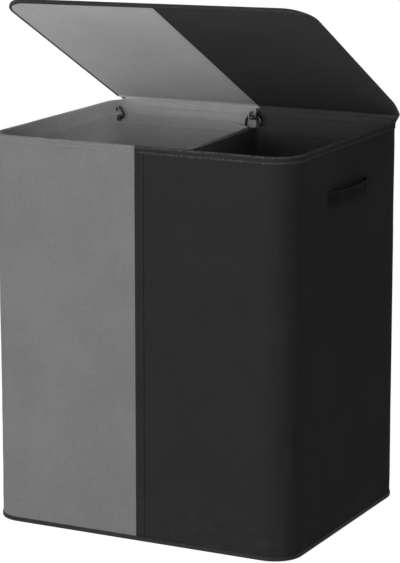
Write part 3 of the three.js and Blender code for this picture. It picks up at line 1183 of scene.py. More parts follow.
@dataclass(frozen=True)
class WireFinish(Finish):
    """Dipped gloss coating on bent wire."""

    roughness: float = 0.22
    runs: float = 160
    run_relief: float = 0.25 * MM
    scuffs: tuple = (700, 4.0, 0.7)
    scuff_start: tuple = (0.6, 0.75)
    scuff_shade: float = 2.6
    scuff_roughness: float = 0.3
    coat: float = 0.3
    coat_roughness: float = 0.12

    def wire(self, w: Wiring, shader: bpy.types.Node) -> None:
        """Faint runs in the coating and small scuffs.

        Args:
            w: The wiring of the tree.
            shader: The shader that gets the values.
        """
        place = self.own_place(w)
        runs = w.noise(place, self.runs)
        scuffs = w.ramp(w.noise(place, *self.scuffs), *self.scuff_start)
        colour = w.blend(scuffs, self.colour, self.shade(self.scuff_shade))
        w.feed(shader.inputs["Base Color"], colour)
        w.feed(shader.inputs["Roughness"],
               w.math("MULTIPLY_ADD", scuffs, self.scuff_roughness, self.roughness))
        shader.inputs["Coat Weight"].default_value = self.coat
        shader.inputs["Coat Roughness"].default_value = self.coat_roughness
        w.feed(shader.inputs["Normal"], w.bump(runs, self.run_relief))


@dataclass(frozen=True)
class SteelFinish(Finish):
    """Dark nickel plating with fine turning marks."""

    roughness: float = 0.28
    marks: float = 900
    mark_stretch: tuple = (6, 1, 1)
    mark_relief: float = 0.03 * MM
    spots: tuple = (420, 4.0, 0.6)
    spot_start: tuple = (0.5, 0.75)
    spot_shade: float = 0.6
    spot_roughness: float = 0.25

    def wire(self, w: Wiring, shader: bpy.types.Node) -> None:
        """Turning marks and dulled spots.

        Args:
            w: The wiring of the tree.
            shader: The shader that gets the values.
        """
        place = self.own_place(w)
        marks = w.noise(w.scaled(place, self.mark_stretch), self.marks)
        spots = w.ramp(w.noise(place, *self.spots), *self.spot_start)
        colour = w.blend(spots, self.colour, self.shade(self.spot_shade))
        w.feed(shader.inputs["Base Color"], colour)
        shader.inputs["Metallic"].default_value = 1.0
        w.feed(shader.inputs["Roughness"],
               w.math("MULTIPLY_ADD", spots, self.spot_roughness, self.roughness))
        w.feed(shader.inputs["Normal"], w.bump(marks, self.mark_relief))


@dataclass(frozen=True)
class CardFinish(Finish):
    """Raw stiffening board: short fibres and flecks."""

    fibres: tuple = (240, 4.0, 0.65)
    fibre_stretch: tuple = (1, 1, 4)
    fibre_shades: tuple = (0.8, 1.15)
    fibre_relief: float = 0.3 * MM
    flecks: float = 800
    fleck_start: tuple = (0.64, 0.72)
    fleck_shade: float = 0.45
    roughness: tuple = (0.3, 0.7, 0.85, 0.98)

    def wire(self, w: Wiring, shader: bpy.types.Node) -> None:
        """Fibres and flecks.

        Args:
            w: The wiring of the tree.
            shader: The shader that gets the values.
        """
        place = self.own_place(w)
        fibres = w.noise(w.scaled(place, self.fibre_stretch), *self.fibres)
        flecks = w.ramp(w.noise(place, self.flecks), *self.fleck_start)
        colour = w.blend(fibres, *map(self.shade, self.fibre_shades))
        colour = w.blend(flecks, colour, self.shade(self.fleck_shade))
        w.feed(shader.inputs["Base Color"], colour)
        w.feed(shader.inputs["Roughness"], w.ramp(fibres, *self.roughness))
        w.feed(shader.inputs["Normal"], w.bump(fibres, self.fibre_relief))


@dataclass(frozen=True)
class BoardClothFinish(ClothFinish):
    """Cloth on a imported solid, which has no thread coordinates of its own."""

    def wire(self, w: Wiring, shader: bpy.types.Node) -> None:
        """The weave runs along the piece's own axes.

        Args:
            w: The wiring of the tree.
            shader: The shader that gets the values.
        """
        super().wire(w, shader)
        for node in list(w.tree.nodes):
            if node.bl_idname == "ShaderNodeUVMap":
                links = list(node.outputs[0].links)
                for link in links:
                    w.feed(link.to_socket, self.own_place(w))
                w.tree.nodes.remove(node)


def neutral(tone: float) -> Colour:
    """A colour without hue."""
    return (tone, tone, tone)


def two_cloths(name: str, grey_tone: float, black_tone: float, grey: dict | None = None,
               black: dict | None = None, **both: float) -> dict[Hand, ClothFinish]:
    """The grey and the black finish of one kind of cloth.

    Args:
        name: What follows the colour in their names.
        grey_tone: The tone of the grey one.
        black_tone: The tone of the black one, which is flatter and shows less dust.
        grey: Settings of the grey one alone.
        black: Settings of the black one alone.
        both: Settings of both.

    Returns:
        A finish for each half.
    """
    flat = {"variation": 0.22, "dust": 0.03, "specular": 0.05, "sheen": 0.01}
    return {
        Hand.LEFT: ClothFinish(f"grey_{name}", neutral(grey_tone), **both, **(grey or {})),
        Hand.RIGHT: ClothFinish(f"black_{name}", neutral(black_tone), **both, **flat,
                                **(black or {})),
    }


def two_linings(name: str, grey_tone: float, black_tone: float) -> dict[Hand, ClothFinish]:
    """The grey and the black finish of one kind of thin, closely woven lining."""
    return two_cloths(name, grey_tone, black_tone, pitch=0.5 * MM, relief=0.07 * MM,
                      roughness=0.82)


def two_threads(grey: str, grey_tone: float, black: str, black_tone: float,
                ) -> dict[Hand, ThreadFinish]:
    """The thread for each half, by name and tone."""
    return {Hand.LEFT: ThreadFinish(grey, neutral(grey_tone)),
            Hand.RIGHT: ThreadFinish(black, neutral(black_tone))}


@dataclass(frozen=True)
class Palette:
    """All the finishes of the hamper."""

    cloth: dict = field(default_factory=lambda: two_cloths("cloth", 0.205, 0.026))
    # The rim hem: its wear settings paint a highlight line along the hem's fold and lower roll,
    # much stronger on the black side
    rim: dict = field(default_factory=lambda: two_cloths(
        "rim_cloth", 0.205, 0.027, {"wear": 0.5, "rubbed": 1.9}, {"wear": 1.0, "rubbed": 7.0}))
    # The lid's lining: on the grey side a lighter copy of the bag's lining cloth (0.57 against
    # 0.425), painted light that makes up for the little light under the lid
    lining: dict = field(default_factory=lambda: two_linings("lining", 0.57, 0.046))
    bag: dict = field(default_factory=lambda: two_linings("bag_cloth", 0.425, 0.078))
    # The wall's facing, also the tabs' cloth: on the grey side a lighter copy of the bag's lining
    # cloth, painted so that the band under the rim reads lighter than the bag
    facing: dict = field(default_factory=lambda: two_linings("facing", 0.50, 0.074))
    # The welt: a much lighter copy of the lining cloth, a painted highlight along the hinge's fold
    welt: dict = field(default_factory=lambda: two_linings("welt_cloth", 0.72, 0.11))
    thread: dict = field(default_factory=lambda: two_threads(
        "grey_thread", 0.23, "black_thread", 0.035))
    lining_thread: dict = field(default_factory=lambda: two_threads(
        "light_thread", 0.46, "dark_thread", 0.045))
    webbing: Finish = TapeFinish("black_webbing", neutral(0.017), roughness=0.85,
                                 specular=0.03, sheen=0.0, dust=0.02)
    tape: Finish = TapeFinish("black_tape", neutral(0.024), pitch=0.6 * MM,
                              ribs=Ribs.CROSSWISE, relief=0.12 * MM)
    wire: Finish = WireFinish("black_dipped_wire", neutral(0.008))
    steel: Finish = SteelFinish("dark_nickel", (0.13, 0.13, 0.135))
    card: Finish = CardFinish("raw_board", (0.45, 0.33, 0.18))
    base_board: Finish = BoardClothFinish("board_cloth", neutral(0.018))


@dataclass
class SubAssembly:
    """A group of pieces that are made and dressed together."""

    palette: Palette
    sewing: Sewing = field(default_factory=Sewing)

    def settle(self, piece: bpy.types.Object, finish: Finish, body: str, slot: str,
               *nodes: str) -> bpy.types.Object:
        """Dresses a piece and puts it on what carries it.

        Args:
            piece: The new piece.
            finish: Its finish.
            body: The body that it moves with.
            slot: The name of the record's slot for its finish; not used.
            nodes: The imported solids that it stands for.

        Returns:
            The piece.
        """
        piece.data.materials.append(finish.material())
        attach(piece, body)
        if nodes:
            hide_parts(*nodes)
        log.info("%s on %s", piece.name, body)
        return piece

    def stitch(self, name: str, rows: Sequence[tuple[np.ndarray, np.ndarray]], finish: Finish,
               body: str, slot: str) -> bpy.types.Object:
        """Sews rows of stitches as one piece, and settles it.

        Args:
            name: The piece's name.
            rows: A line and its outward directions for each row.
            finish: Its finish.
            body: The body that it moves with.
            slot: The name of the record's slot for its finish; not used.

        Returns:
            The piece.
        """
        return self.settle(self.sewing.sew(name, rows), finish, body, slot)

    @staticmethod
    def dress(node: str, finish: Finish) -> None:
        """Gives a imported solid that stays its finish.

        Args:
            node: The solid's name.
            finish: Its finish.
        """
        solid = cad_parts[node]
        solid.data.materials.clear()
        solid.data.materials.append(finish.material())
        log.info("%s dressed", node)


@dataclass
class Shell(SubAssembly):
    """The stiffened wall: covers, linings, hems, seam strips, binding and base."""

    plan: WallPlan = field(default_factory=WallPlan)
    bottom: float = 1.3 * MM
    top: float = 638.9 * MM
    cover_thickness: float = 1.0 * MM
    lining_thickness: float = 0.8 * MM
    lining_depth: float = 4.9 * MM
    tape_thickness: float = 0.7 * MM
    seam_gap: float = 0.15 * MM
    step: float = 9 * MM
    slit_offsets: tuple = (-82.5 * MM, 64.5 * MM)
    slit_half_width: float = 2 * MM
    slit_half_height: float = 12 * MM
    slit_height: float = 556 * MM
    slit_ease: float = 3 * MM
    strip_low: float = 7.9 * MM
    strip_high: float = 628.7 * MM
    # Wavelength, height and stretch of what makes the cloth uneven
    broad_waves: tuple = (190 * MM, 0.30 * MM, 1.4)
    close_waves: tuple = (52 * MM, 0.10 * MM)
    corner_flutes: tuple = (24 * MM, 0.32 * MM, 9)
    hem_puckers: tuple = (15 * MM, 0.14 * MM, 0.4)
    hem_waver: tuple = (120 * MM, 0.35 * MM)
    strip_ripples: tuple = (26 * MM, 0.07 * MM)
    strip_waver: tuple = (170 * MM, 0.22 * MM)
    binding_puckers: tuple = (22 * MM, 0.08 * MM, 0.4)
    # How far the cover stands out evenly, sinks at most, and how much of it the lining does
    stand: float = 0.25 * MM
    sink: float = 0.2 * MM
    lining_share: float = 0.4
    # From where the cloth is held to where it is free: heights, and distances
    free_above: tuple = (9 * MM, 40 * MM)
    free_below: tuple = (628 * MM, 600 * MM)
    free_of_seam: tuple = (14 * MM, 45 * MM)
    free_of_slit: tuple = (6 * MM, 30 * MM)
    slit_flatness: float = 0.6
    # The sheets' rows beside the facing's seam, and the ridge that the seam raises
    foot_row: float = 8 * MM
    groove_rows: tuple = (-4 * MM, -2 * MM, -0.7 * MM, 0.7 * MM, 2 * MM)
    groove_lift: float = 0.35 * MM
    groove_reach: float = 1.5 * MM
    # How the hem rises with its unevenness, and how much more it puckers in the corners
    hem_thickness: float = 0.8 * MM
    hem_front: float = 2 * MM
    hem_rise: tuple = (629 * MM, 640 * MM)
    hem_rise_share: float = 0.4
    hem_rise_most: float = 0.15 * MM
    hem_pucker_share: tuple = (0.6, 1.2)
    # Height and reach of the painted highlights along the hem's top fold and its lower roll, and
    # how much the lower one gets
    painted_highlight_top: tuple = (640 * MM, 1.6 * MM)
    worn_low: tuple = (630 * MM, 1.8 * MM)
    worn_low_share: float = 0.45
    worn_binding: tuple = (0.4 * MM, 1.0 * MM)
    # Height and depth of each stitch row, and where the rows end before a seam
    rim_row: tuple = (632.2 * MM, -1.0 * MM)
    facing_rows: tuple = ((633.2 * MM, 5.5 * MM), (627.3 * MM, 4.95 * MM))
    row_margin: float = 1.5 * MM
    # Distance from the colour split and height off the cover of each point of the seam strip
    strip_profile: tuple = (
        (-0.15, 0.3), (-0.3, 0.75), (0.15, 1.05), (1.3, 1.1), (2.2, 0.9), (3.3, 1.1), (5.2, 1.16),
        (8.3, 1.16), (11.2, 1.1), (12.6, 0.9), (13.8, 1.08), (14.8, 1.02), (15.15, 0.75),
        (15.0, 0.3),
    )
    strip_step: float = 8 * MM
    strip_free: float = 12 * MM
    strip_rows: tuple = (2.2 * MM, 12.6 * MM)
    strip_row_lift: float = 1.0 * MM
    # Depth in from the cover's face and height of each point of the folded hem, in millimetres
    hem_profile: tuple = (
        (-0.45, 628.9), (-1.05, 629.0), (-1.45, 629.7), (-1.5, 630.6), (-1.3, 631.5),
        (-0.95, 632.2), (-1.15, 633.0), (-1.35, 634.4), (-1.4, 636.4), (-1.2, 638.2),
        (-0.6, 639.4), (0.4, 640.0), (2.0, 640.05), (3.4, 639.95),
    )
    # The same for the facing, from its fold on the rim down the inside
    facing_profile: tuple = (
        (2.7, 640.0), (2.9, 640.25), (3.6, 640.25), (4.5, 640.05), (5.2, 639.5), (5.6, 638.4),
        (5.75, 636.6), (5.7, 634.4), (5.6, 633.2), (5.65, 632.2), (5.6, 630.6), (5.45, 629.6),
        (5.25, 629.0), (5.05, 628.9),
    )
    # Depth and height of each point of the tape round the bottom, in millimetres
    binding_profile: tuple = (
        (9.0, 0.05), (2.0, 0.06), (0.4, 0.12), (-0.6, 0.4), (-1.15, 1.0), (-1.35, 2.4),
        (-1.3, 4.2), (-1.05, 5.2), (-1.25, 6.1), (-1.15, 7.1), (-0.7, 7.6), (-0.2, 7.55),
    )
    binding_front: float = 1 * MM
    binding_row: tuple = (-1.15 * MM, 5.2 * MM)
    base_level: float = 0.95 * MM

    def swell(self, hand: Hand, along: Numbers, height: Numbers) -> np.ndarray:
        """How far the wall cloth stands off its boards.

        Args:
            hand: Which half.
            along: Distances from the front seam.
            height: Heights.

        Returns:
            Distances outwards.
        """
        seed = Seed.WALL + hand.value
        broad = Unevenness(seed, *self.broad_waves).at(along, height) + self.stand
        close = Unevenness(seed + 5, *self.close_waves).at(along, height)
        flutes = Unevenness(seed + 9, *self.corner_flutes).at(along, height)
        total = broad + close + self.plan.corner_share(along) * flutes
        sides = np.minimum(along, self.plan.marks[-1] - along)
        free = smooth(height, *self.free_above) * smooth(height, *self.free_below)
        free = free * smooth(sides, *self.free_of_seam)
        for slit in self.slits():
            beyond = (np.asarray(height) - self.slit_height) * self.slit_flatness
            free = free * smooth(np.hypot(np.asarray(along) - slit, beyond), *self.free_of_slit)
        return np.maximum(total, -self.sink) * free

    def slits(self) -> list[float]:
        """Distances of the two slits from the front seam."""
        middle = self.plan.marks[-1] / 2
        return [middle + offset for offset in self.slit_offsets]

    def wall_sheet(self, name: str, hand: Hand, depth: float, outside: bool) -> bpy.types.Object:
        """The cloth of one half of the wall, with its slits.

        Args:
            name: The piece's name.
            hand: Which half.
            depth: The depth of its seen face.
            outside: Whether that face looks out.

        Returns:
            The object.
        """
        ease, reach = self.slit_ease, self.slit_half_width
        edges = [s + e * r for s in self.slits() for e in (-1, 1) for r in (reach, reach + ease)]
        along = self.plan.columns(self.seam_gap, *edges)
        low, high = (self.slit_height + e * self.slit_half_height for e in (-1, 1))
        groove = self.facing_rows[-1][0]
        height = spaced(self.step, self.bottom, self.bottom + self.foot_row, low - ease, low, high,
                        high + ease, *(groove + row for row in self.groove_rows), self.top)
        grid, up = np.meshgrid(along, height)
        run = self.plan.run(hand, along)
        swell = self.swell(hand, grid, up)
        if not outside:
            ridge = self.groove_lift * bump_at(up, groove, self.groove_reach)
            swell = ridge - self.lining_share * swell
        points = run.place(depth - swell, up)
        middles = (along[1:] + along[:-1]) / 2, (height[1:] + height[:-1]) / 2
        hole = np.zeros((len(height) - 1, len(along) - 1), bool)
        for slit in self.slits():
            hole |= ((abs(middles[0] - slit) < self.slit_half_width)[None]
                     & (abs(middles[1] - self.slit_height) < self.slit_half_height)[:, None])
        flip = (hand is Hand.LEFT) == outside
        return woven(name, points, np.stack([grid, up], -1), keep=~hole, flip=flip)

    def wall_line(self, hand: Hand, height: float, depth: float,
                  side: int = 1) -> tuple[np.ndarray, np.ndarray]:
        """A level line round one half of the wall, and the directions out of its cloth."""
        run = self.plan.run(hand, self.plan.columns(self.row_margin))
        return run.place([depth], [height])[0], side * run.directions(1)[0]

    def build(self) -> None:
        """Makes the shell's pieces."""
        for hand in Hand:
            self.build_half(hand)
        for end in End:
            self.build_strip(end)
        self.build_base()
        for board in ("side", "front", "back"):
            for hand in Hand:
                self.dress(f"board_{board}_{hand.side}", self.palette.card)

    def build_half(self, hand: Hand) -> None:
        """The cover, lining, rim hem and stitch rows of one half.

        Args:
            hand: Which half.
        """
        colour, palette = hand.colour, self.palette
        cloth, lining = f"cloth_{colour}", f"lining_{colour}"
        cover = self.wall_sheet(f"{colour}_cover", hand, 0.0, True)
        self.settle(thicken(cover, self.cover_thickness), palette.cloth[hand], "shell", cloth,
                    f"cover_{colour}")
        inner = self.wall_sheet(f"{colour}_wall_lining", hand, self.lining_depth, False)
        self.settle(thicken(inner, self.lining_thickness), palette.facing[hand], "shell", lining,
                    f"lining_{colour}")
        hem = self.build_hem(hand, "rim_hem", self.hem_profile)
        self.settle(hem, palette.rim[hand], "shell", cloth, f"rim_hem_{colour}")
        fold = self.build_hem(hand, "rim_facing", self.facing_profile)
        self.settle(fold, palette.facing[hand], "shell", lining)
        outer_row = self.stitch(f"{colour}_rim_stitches", [self.wall_line(hand, *self.rim_row)],
                                palette.thread[hand], "shell", cloth)
        inner_rows = self.stitch(
            f"{colour}_facing_stitches",
            [self.wall_line(hand, *row, side=-1) for row in self.facing_rows],
            palette.lining_thread[hand], "shell", lining)

    def build_hem(self, hand: Hand, name: str, profile: tuple) -> bpy.types.Object:
        """A cloth of the fold over the wall's top edge, slightly puckered by its stitches.

        Args:
            hand: Which half.
            name: The last part of its name.
            profile: Its section.

        Returns:
            The object.
        """
        depth, height = np.array(profile).T * MM
        run = self.plan.run(hand, self.plan.columns(self.seam_gap))
        pucker = Unevenness(Seed.HEM + hand.value, *self.hem_puckers)
        waver = Unevenness(Seed.HEM + 4 + hand.value, *self.hem_waver)
        rise = waver.at(run.along, 0)[None] * smooth(height, *self.hem_rise)[:, None]
        rise = np.minimum(rise * self.hem_rise_share, self.hem_rise_most)
        front = depth < self.hem_front
        outside = np.where(front, -1, 1)[:, None]
        ripple = pucker.at(run.along[None], height[:, None])
        least, more = self.hem_pucker_share
        ripple = ripple * (least + more * self.plan.corner_share(run.along))[None]
        # Painted highlights: lighter lines along the top fold of the outer hem and along the lower
        # roll of both folds
        worn = (bump_at(height, *self.painted_highlight_top) * front
                + self.worn_low_share * bump_at(height, *self.worn_low))[:, None]
        hem = banded(f"{hand.colour}_{name}", run, depth[:, None] + outside * np.abs(ripple),
                     height[:, None] + rise, flip=hand is Hand.LEFT,
                     worn=np.broadcast_to(worn, ripple.shape))
        return thicken(hem, self.hem_thickness)

    def build_strip(self, end: End) -> None:
        """The lapped, double-stitched strip on the black side of the colour split.

        Args:
            end: Which end, front or back.
        """
        across, proud = np.array(self.strip_profile).T * MM
        height = spaced(self.strip_step, self.strip_low, self.strip_high)
        ripple = Unevenness(Seed.STRIP + end.value, *self.strip_ripples).at(
            across[:, None], height[None])
        waver = Unevenness(Seed.STRIP + 3 + end.value, *self.strip_waver).at(0, height)[None]
        grid = np.zeros((len(across), len(height), 3))
        grid[..., 0] = across[:, None] + waver * smooth(across, 0, self.strip_free)[:, None]
        grid[..., 1] = end.value * (self.plan.half_depth + proud[:, None] + np.abs(ripple))
        grid[..., 2] = height[None]
        strip = woven(f"{end.place}_seam_strip_cloth", grid, paired(across[:, None], height[None]),
                      flip=end is End.FRONT)
        self.settle(thicken(strip, self.tape_thickness), self.palette.cloth[Hand.RIGHT], "shell",
                    "cloth_black", f"{end.place}_seam_strip")
        y = end.value * (self.plan.half_depth + self.strip_row_lift)
        lines = [np.stack(np.broadcast_arrays(x, y, height), 1) for x in self.strip_rows]
        self.stitch(f"{end.place}_strip_stitches",
                    [(line, facing_all(line, 0, end.value, 0)) for line in lines],
                    self.palette.thread[Hand.RIGHT], "shell", "cloth_black")

    def build_base(self) -> None:
        """The tape round the bottom, its stitches and the cloth under the shell."""
        depth, height = np.array(self.binding_profile).T * MM
        half = self.plan.half_width, self.plan.half_depth
        ring = rounded_ring((-half[0], -half[1]), half, self.plan.radius)
        ripple = Unevenness(Seed.BINDING, *self.binding_puckers).at(
            ring.along[:-1][None], height[:, None])
        inset = depth[:, None] - np.abs(ripple) * (depth < self.binding_front)[:, None]
        binding = banded("bottom_binding", ring, inset, height,
                         worn=bump_at(height, *self.worn_binding)[:, None])
        self.settle(thicken(binding, self.tape_thickness), self.palette.tape, "shell", "webbing",
                    "base_binding")
        line = ring.place(*([value] for value in self.binding_row))[0]
        self.stitch("bottom_stitches", [(line, ring.directions(1)[0])],
                    self.palette.thread[Hand.RIGHT], "shell", "webbing")
        base = flat_panel("base_under_cloth", (-half[0], -half[1]), half, self.plan.radius,
                          lambda x, y: self.base_level + 0 * x, upward=True)
        self.settle(thicken(base, self.tape_thickness), self.palette.cloth[Hand.RIGHT], "shell",
                    "cloth_black", "base_cloth")
        self.dress("base_board", self.palette.base_board)


def flat_panel(name: str, low: Sequence[float], high: Sequence[float], radius: float,
               height: Callable, upward: bool, place: Callable | None = None,
               rounded: tuple[bool, bool] = (True, True), step: float = 9 * MM,
               marks: Sequence[float] = (), back_radius: float | None = None,
               ) -> bpy.types.Object:
    """A level panel of cloth with rounded corners.

    Args:
        name: The piece's name.
        low: Its lowest X and Y.
        high: Its highest X and Y.
        radius: The radius of its corners.
        height: Gives the height from grids of X and Y.
        upward: Whether the outer face looks up.
        place: What carries the points to their frame, if they aren't there yet.
        rounded: Whether the corners on the low and on the high X side are round.
        step: The widest gap between points.
        marks: Further X values that need a column.
        back_radius: The radius of the corners at high Y, if it is another one.

    Returns:
        The object.
    """
    angles = np.linspace(0, math.pi / 2, 9)
    radii = (radius, back_radius or radius)
    flats = {low[0], high[0], *marks, low[0] + SELVEDGE, high[0] - SELVEDGE}
    for is_round, edge, sign in ((rounded[0], low[0], 1), (rounded[1], high[0], -1)):
        for size in radii if is_round else ():
            flats |= set(edge + sign * size * (1 - np.sin(angles)))
    columns = np.unique(spaced(step, *sorted(flats)).round(DECIMALS))
    drops = np.zeros((2, len(columns)))
    for is_round, edge, sign in ((rounded[0], low[0], 1), (rounded[1], high[0], -1)):
        for index, size in enumerate(radii if is_round else ()):
            into = size - np.clip((columns - edge) * sign, 0, size)
            drops[index] += size - np.sqrt(np.maximum(size ** 2 - into ** 2, 0))
    depth = high[1] - low[1]
    share = spaced(step, 0, SELVEDGE, 4 * MM, depth - 4 * MM, depth - SELVEDGE, depth) / depth
    x = np.broadcast_to(columns[None], (len(share), len(columns)))
    y = low[1] + drops[:1] + share[:, None] * (depth - drops.sum(0))[None]
    points = np.stack([x, y, np.broadcast_to(height(x, y), x.shape)], -1)
    points = points if place is None else place(points)
    return woven(name, points, np.stack([x, y], -1), flip=not upward)


@dataclass
class Handles(SubAssembly):
    """A webbing strap a side, with its slits' edging and the patches behind."""

    shell: Shell = None
    face: float = 268 * MM
    height: float = 556 * MM
    width: float = 25 * MM
    thickness: float = 2 * MM
    bow: float = 10 * MM
    ramp: float = 22 * MM
    tail: float = 20 * MM
    tail_x: float = 252.2 * MM
    leg_x: float = 269.3 * MM
    patch_depth: float = 5.2 * MM
    patch_thickness: float = 0.8 * MM
    patch_reach: tuple = (110.5 * MM, 40.5 * MM)
    patch_step: float = 6 * MM
    patch_waves: tuple = (40 * MM, 0.12 * MM)
    step: float = 4 * MM
    ramp_steps: int = 8
    bend_reach: float = 1.6 * MM
    # The grip's droop and tilt, and where they begin and are whole, in from a slit
    droop: float = 1.2 * MM
    tilt: float = 0.10
    grip: tuple = (2 * MM, 34 * MM)
    # The webbing's section: its corners, the groove under each stitch row, its thinner edges
    corner: float = 0.9 * MM
    row_inset: float = 3 * MM
    row_sink: float = 0.22 * MM
    groove_depth: float = 0.28 * MM
    groove_reach: float = 0.9 * MM
    edge_thinning: float = 0.12
    # How much narrower the strap is where a slit pinches it, and over what reach
    pinch: float = 0.06
    pinch_reach: float = 9 * MM
    # The sewn box: how far beyond the slit it begins and ends, and half its height
    box_reach: tuple = (5 * MM, 18 * MM)
    box_points: int = 12
    box_half_height: float = 10 * MM
    box_lift: float = 0.15 * MM
    # The edging of a slit: half its width and height, and its corners
    edging_half: tuple = (3.1 * MM, 13.1 * MM)
    edging_step: float = 2 * MM
    edging_turns: int = 4
    edging_corner: float = 1.6 * MM
    edging_lift: float = 0.1 * MM
    sewing: Sewing = field(default_factory=lambda: Sewing(3.4 * MM, 2.7 * MM, 0.3 * MM))

    def slit_at(self, y: Numbers) -> np.ndarray:
        """The distance from the side's middle of the slit at the same end."""
        front, back = self.shell.slit_offsets
        return np.where(np.asarray(y) < 0, -front, back)

    def half_path(self, slit: float) -> np.ndarray:
        """The strap's line from its tail, through one slit, to where its grip begins.

        Args:
            slit: The slit's distance from the middle of the side.

        Returns:
            Points in plan.
        """
        half = [(self.tail_x, slit + self.tail), (self.tail_x, slit)]
        for along in np.linspace(0, 1, self.ramp_steps + 1):
            rise = (1 - math.cos(math.pi * along)) / 2
            half.append((self.leg_x + (self.face + self.bow - self.leg_x) * rise,
                         slit - self.ramp * along))
        return np.array(half)

    def path(self) -> np.ndarray:
        """The strap's line in plan on the right side, from its front tail to its back tail.

        Returns:
            Points in plan, with no gap wider than the step.
        """
        front, back = self.shell.slit_offsets
        whole = np.concatenate([self.half_path(-front) * (1, -1), self.half_path(back)[::-1]])
        line = eased(whole, self.bend_reach)
        line = apart(line)
        along = lengths_along(line)
        even = np.unique(np.concatenate([along, spaced(self.step, 0, along[-1])]).round(DECIMALS))
        return read_along(line, along, even)

    def frames(self, hand: Hand) -> tuple[np.ndarray, np.ndarray, np.ndarray]:
        """The strap's middle line, with its outward and widthwise directions.

        Args:
            hand: Which side.

        Returns:
            Points, outward directions and widthwise directions.
        """
        line = self.path() * (hand.value, 1)
        ahead = unit(np.gradient(line, axis=0))
        outward = np.stack([ahead[:, 1], -ahead[:, 0]], 1) * hand.value
        level = np.zeros((len(line), 1))
        points = np.concatenate([line, level + self.height], 1)
        slit = self.slit_at(line[:, 1])
        grip = smooth(slit - np.abs(line[:, 1]), *self.grip)[:, None]
        lean = unit(np.concatenate([outward * grip * self.tilt, level + 1], 1))
        sag = -self.droop * grip * (1 - (line[:, 1:] / slit[:, None]) ** 2)
        return points + sag * (0, 0, 1), np.concatenate([outward, level], 1), lean

    def build(self) -> None:
        """Makes both handles."""
        for hand in Hand:
            self.build_strap(hand)
            self.build_patch(hand)

    def build_strap(self, hand: Hand) -> None:
        """The strap itself: two layers of webbing, sewn near both edges.

        Args:
            hand: Which side.
        """
        points, outward, widthwise = self.frames(hand)
        section = rounded_section(self.width, self.thickness, self.corner)
        from_middle, row = np.abs(section[:, 1]), self.width / 2 - self.row_inset
        groove = self.groove_depth * bump_at(from_middle, row, self.groove_reach)
        section[:, 0] -= np.sign(section[:, 0]) * groove
        section[:, 0] *= 1 - self.edge_thinning * (from_middle / (self.width / 2)) ** 4
        away = np.abs(points[:, 1]) - self.slit_at(points[:, 1])
        widthwise = widthwise * (1 - self.pinch * bump_at(away, 0, self.pinch_reach))[:, None]
        strap = swept(f"{hand.side}_strap", points, outward, widthwise, section)
        body = f"handle_{hand.side}"
        self.settle(strap, self.palette.webbing, body, "webbing", body)
        surface = self.thickness / 2 - self.row_sink
        self.stitch(f"{hand.side}_strap_stitches", [
            (points + widthwise * (edge * row) + outward * face * surface, outward * face)
            for edge in (-1, 1) for face in (-1, 1)
        ], self.palette.thread[Hand.RIGHT], body, "webbing")

    def build_patch(self, hand: Hand) -> None:
        """The patch inside the wall, the edging of the slits and the box stitches outside.

        Args:
            hand: Which side.
        """
        reach_y, reach_z = self.patch_reach
        half_width, half_height = self.shell.slit_half_width, self.shell.slit_half_height
        slit_edges = [s + e * half_width for s in self.shell.slit_offsets for e in (-1, 1)]
        y = spaced(self.patch_step, -reach_y, *slit_edges, reach_y)
        low, high = (self.height + s * half_height for s in (-1, 1))
        z = spaced(self.patch_step, self.height - reach_z, low, high, self.height + reach_z)
        grid_y, grid_z = np.meshgrid(y, z)
        soft = Unevenness(Seed.PATCH + hand.value, *self.patch_waves).at(grid_y, grid_z)
        inner = self.face - self.patch_depth - self.patch_thickness
        grid_x = hand.value * (inner - np.abs(soft))
        middle_y, middle_z = (y[1:] + y[:-1]) / 2, (z[1:] + z[:-1]) / 2
        hole = ((abs(abs(middle_y) - self.slit_at(middle_y)) < half_width)[None]
                & (abs(middle_z - self.height) < half_height)[:, None])
        patch = woven(f"{hand.side}_handle_patch", np.stack([grid_x, grid_y, grid_z], -1),
                      np.stack([grid_y, grid_z], -1), keep=~hole, flip=hand is Hand.RIGHT)
        self.settle(thicken(patch, self.patch_thickness), self.palette.tape, "shell", "webbing",
                    f"handle_patch_{hand.side}")
        lines = [shape(hand, end) for shape in (self.box, self.edging) for end in End]
        self.stitch(f"{hand.side}_slit_stitches",
                    [(line, facing_all(line, hand.value, 0, 0)) for line in lines],
                    self.palette.thread[Hand.RIGHT], "shell", f"cloth_{hand.colour}")

    def box(self, hand: Hand, end: End) -> np.ndarray:
        """A sewn box beyond a slit, where the patch holds the strap's tail.

        Args:
            hand: Which side.
            end: Which end, front or back.

        Returns:
            The line that its thread follows.
        """
        near, far = (float(self.slit_at(end.value)) + reach for reach in self.box_reach)
        low, high = self.height - self.box_half_height, self.height + self.box_half_height
        corners = [(near, low), (far, low), (far, high), (near, high), (near, low), (far, high)]
        x = hand.value * (self.face + self.box_lift)
        line = np.array([(x, end.value * y, z) for y, z in corners])
        share = np.linspace(0, 1, self.box_points)[:, None]
        return np.concatenate([a + (b - a) * share for a, b in zip(line, line[1:])])

    def edging(self, hand: Hand, end: End) -> np.ndarray:
        """The row of thread round a slit.

        Args:
            hand: Which side.
            end: Which end, front or back.

        Returns:
            The line that its thread follows.
        """
        wide, tall = self.edging_half
        ring = rounded_ring((-wide, -tall), (wide, tall), self.edging_corner,
                            self.edging_step, self.edging_turns)
        around = np.concatenate([ring.points, ring.points[:1]])
        return np.stack([np.full(len(around), hand.value * (self.face + self.edging_lift)),
                         end.value * self.slit_at(end.value) + around[:, 0],
                         self.height + around[:, 1]], 1)


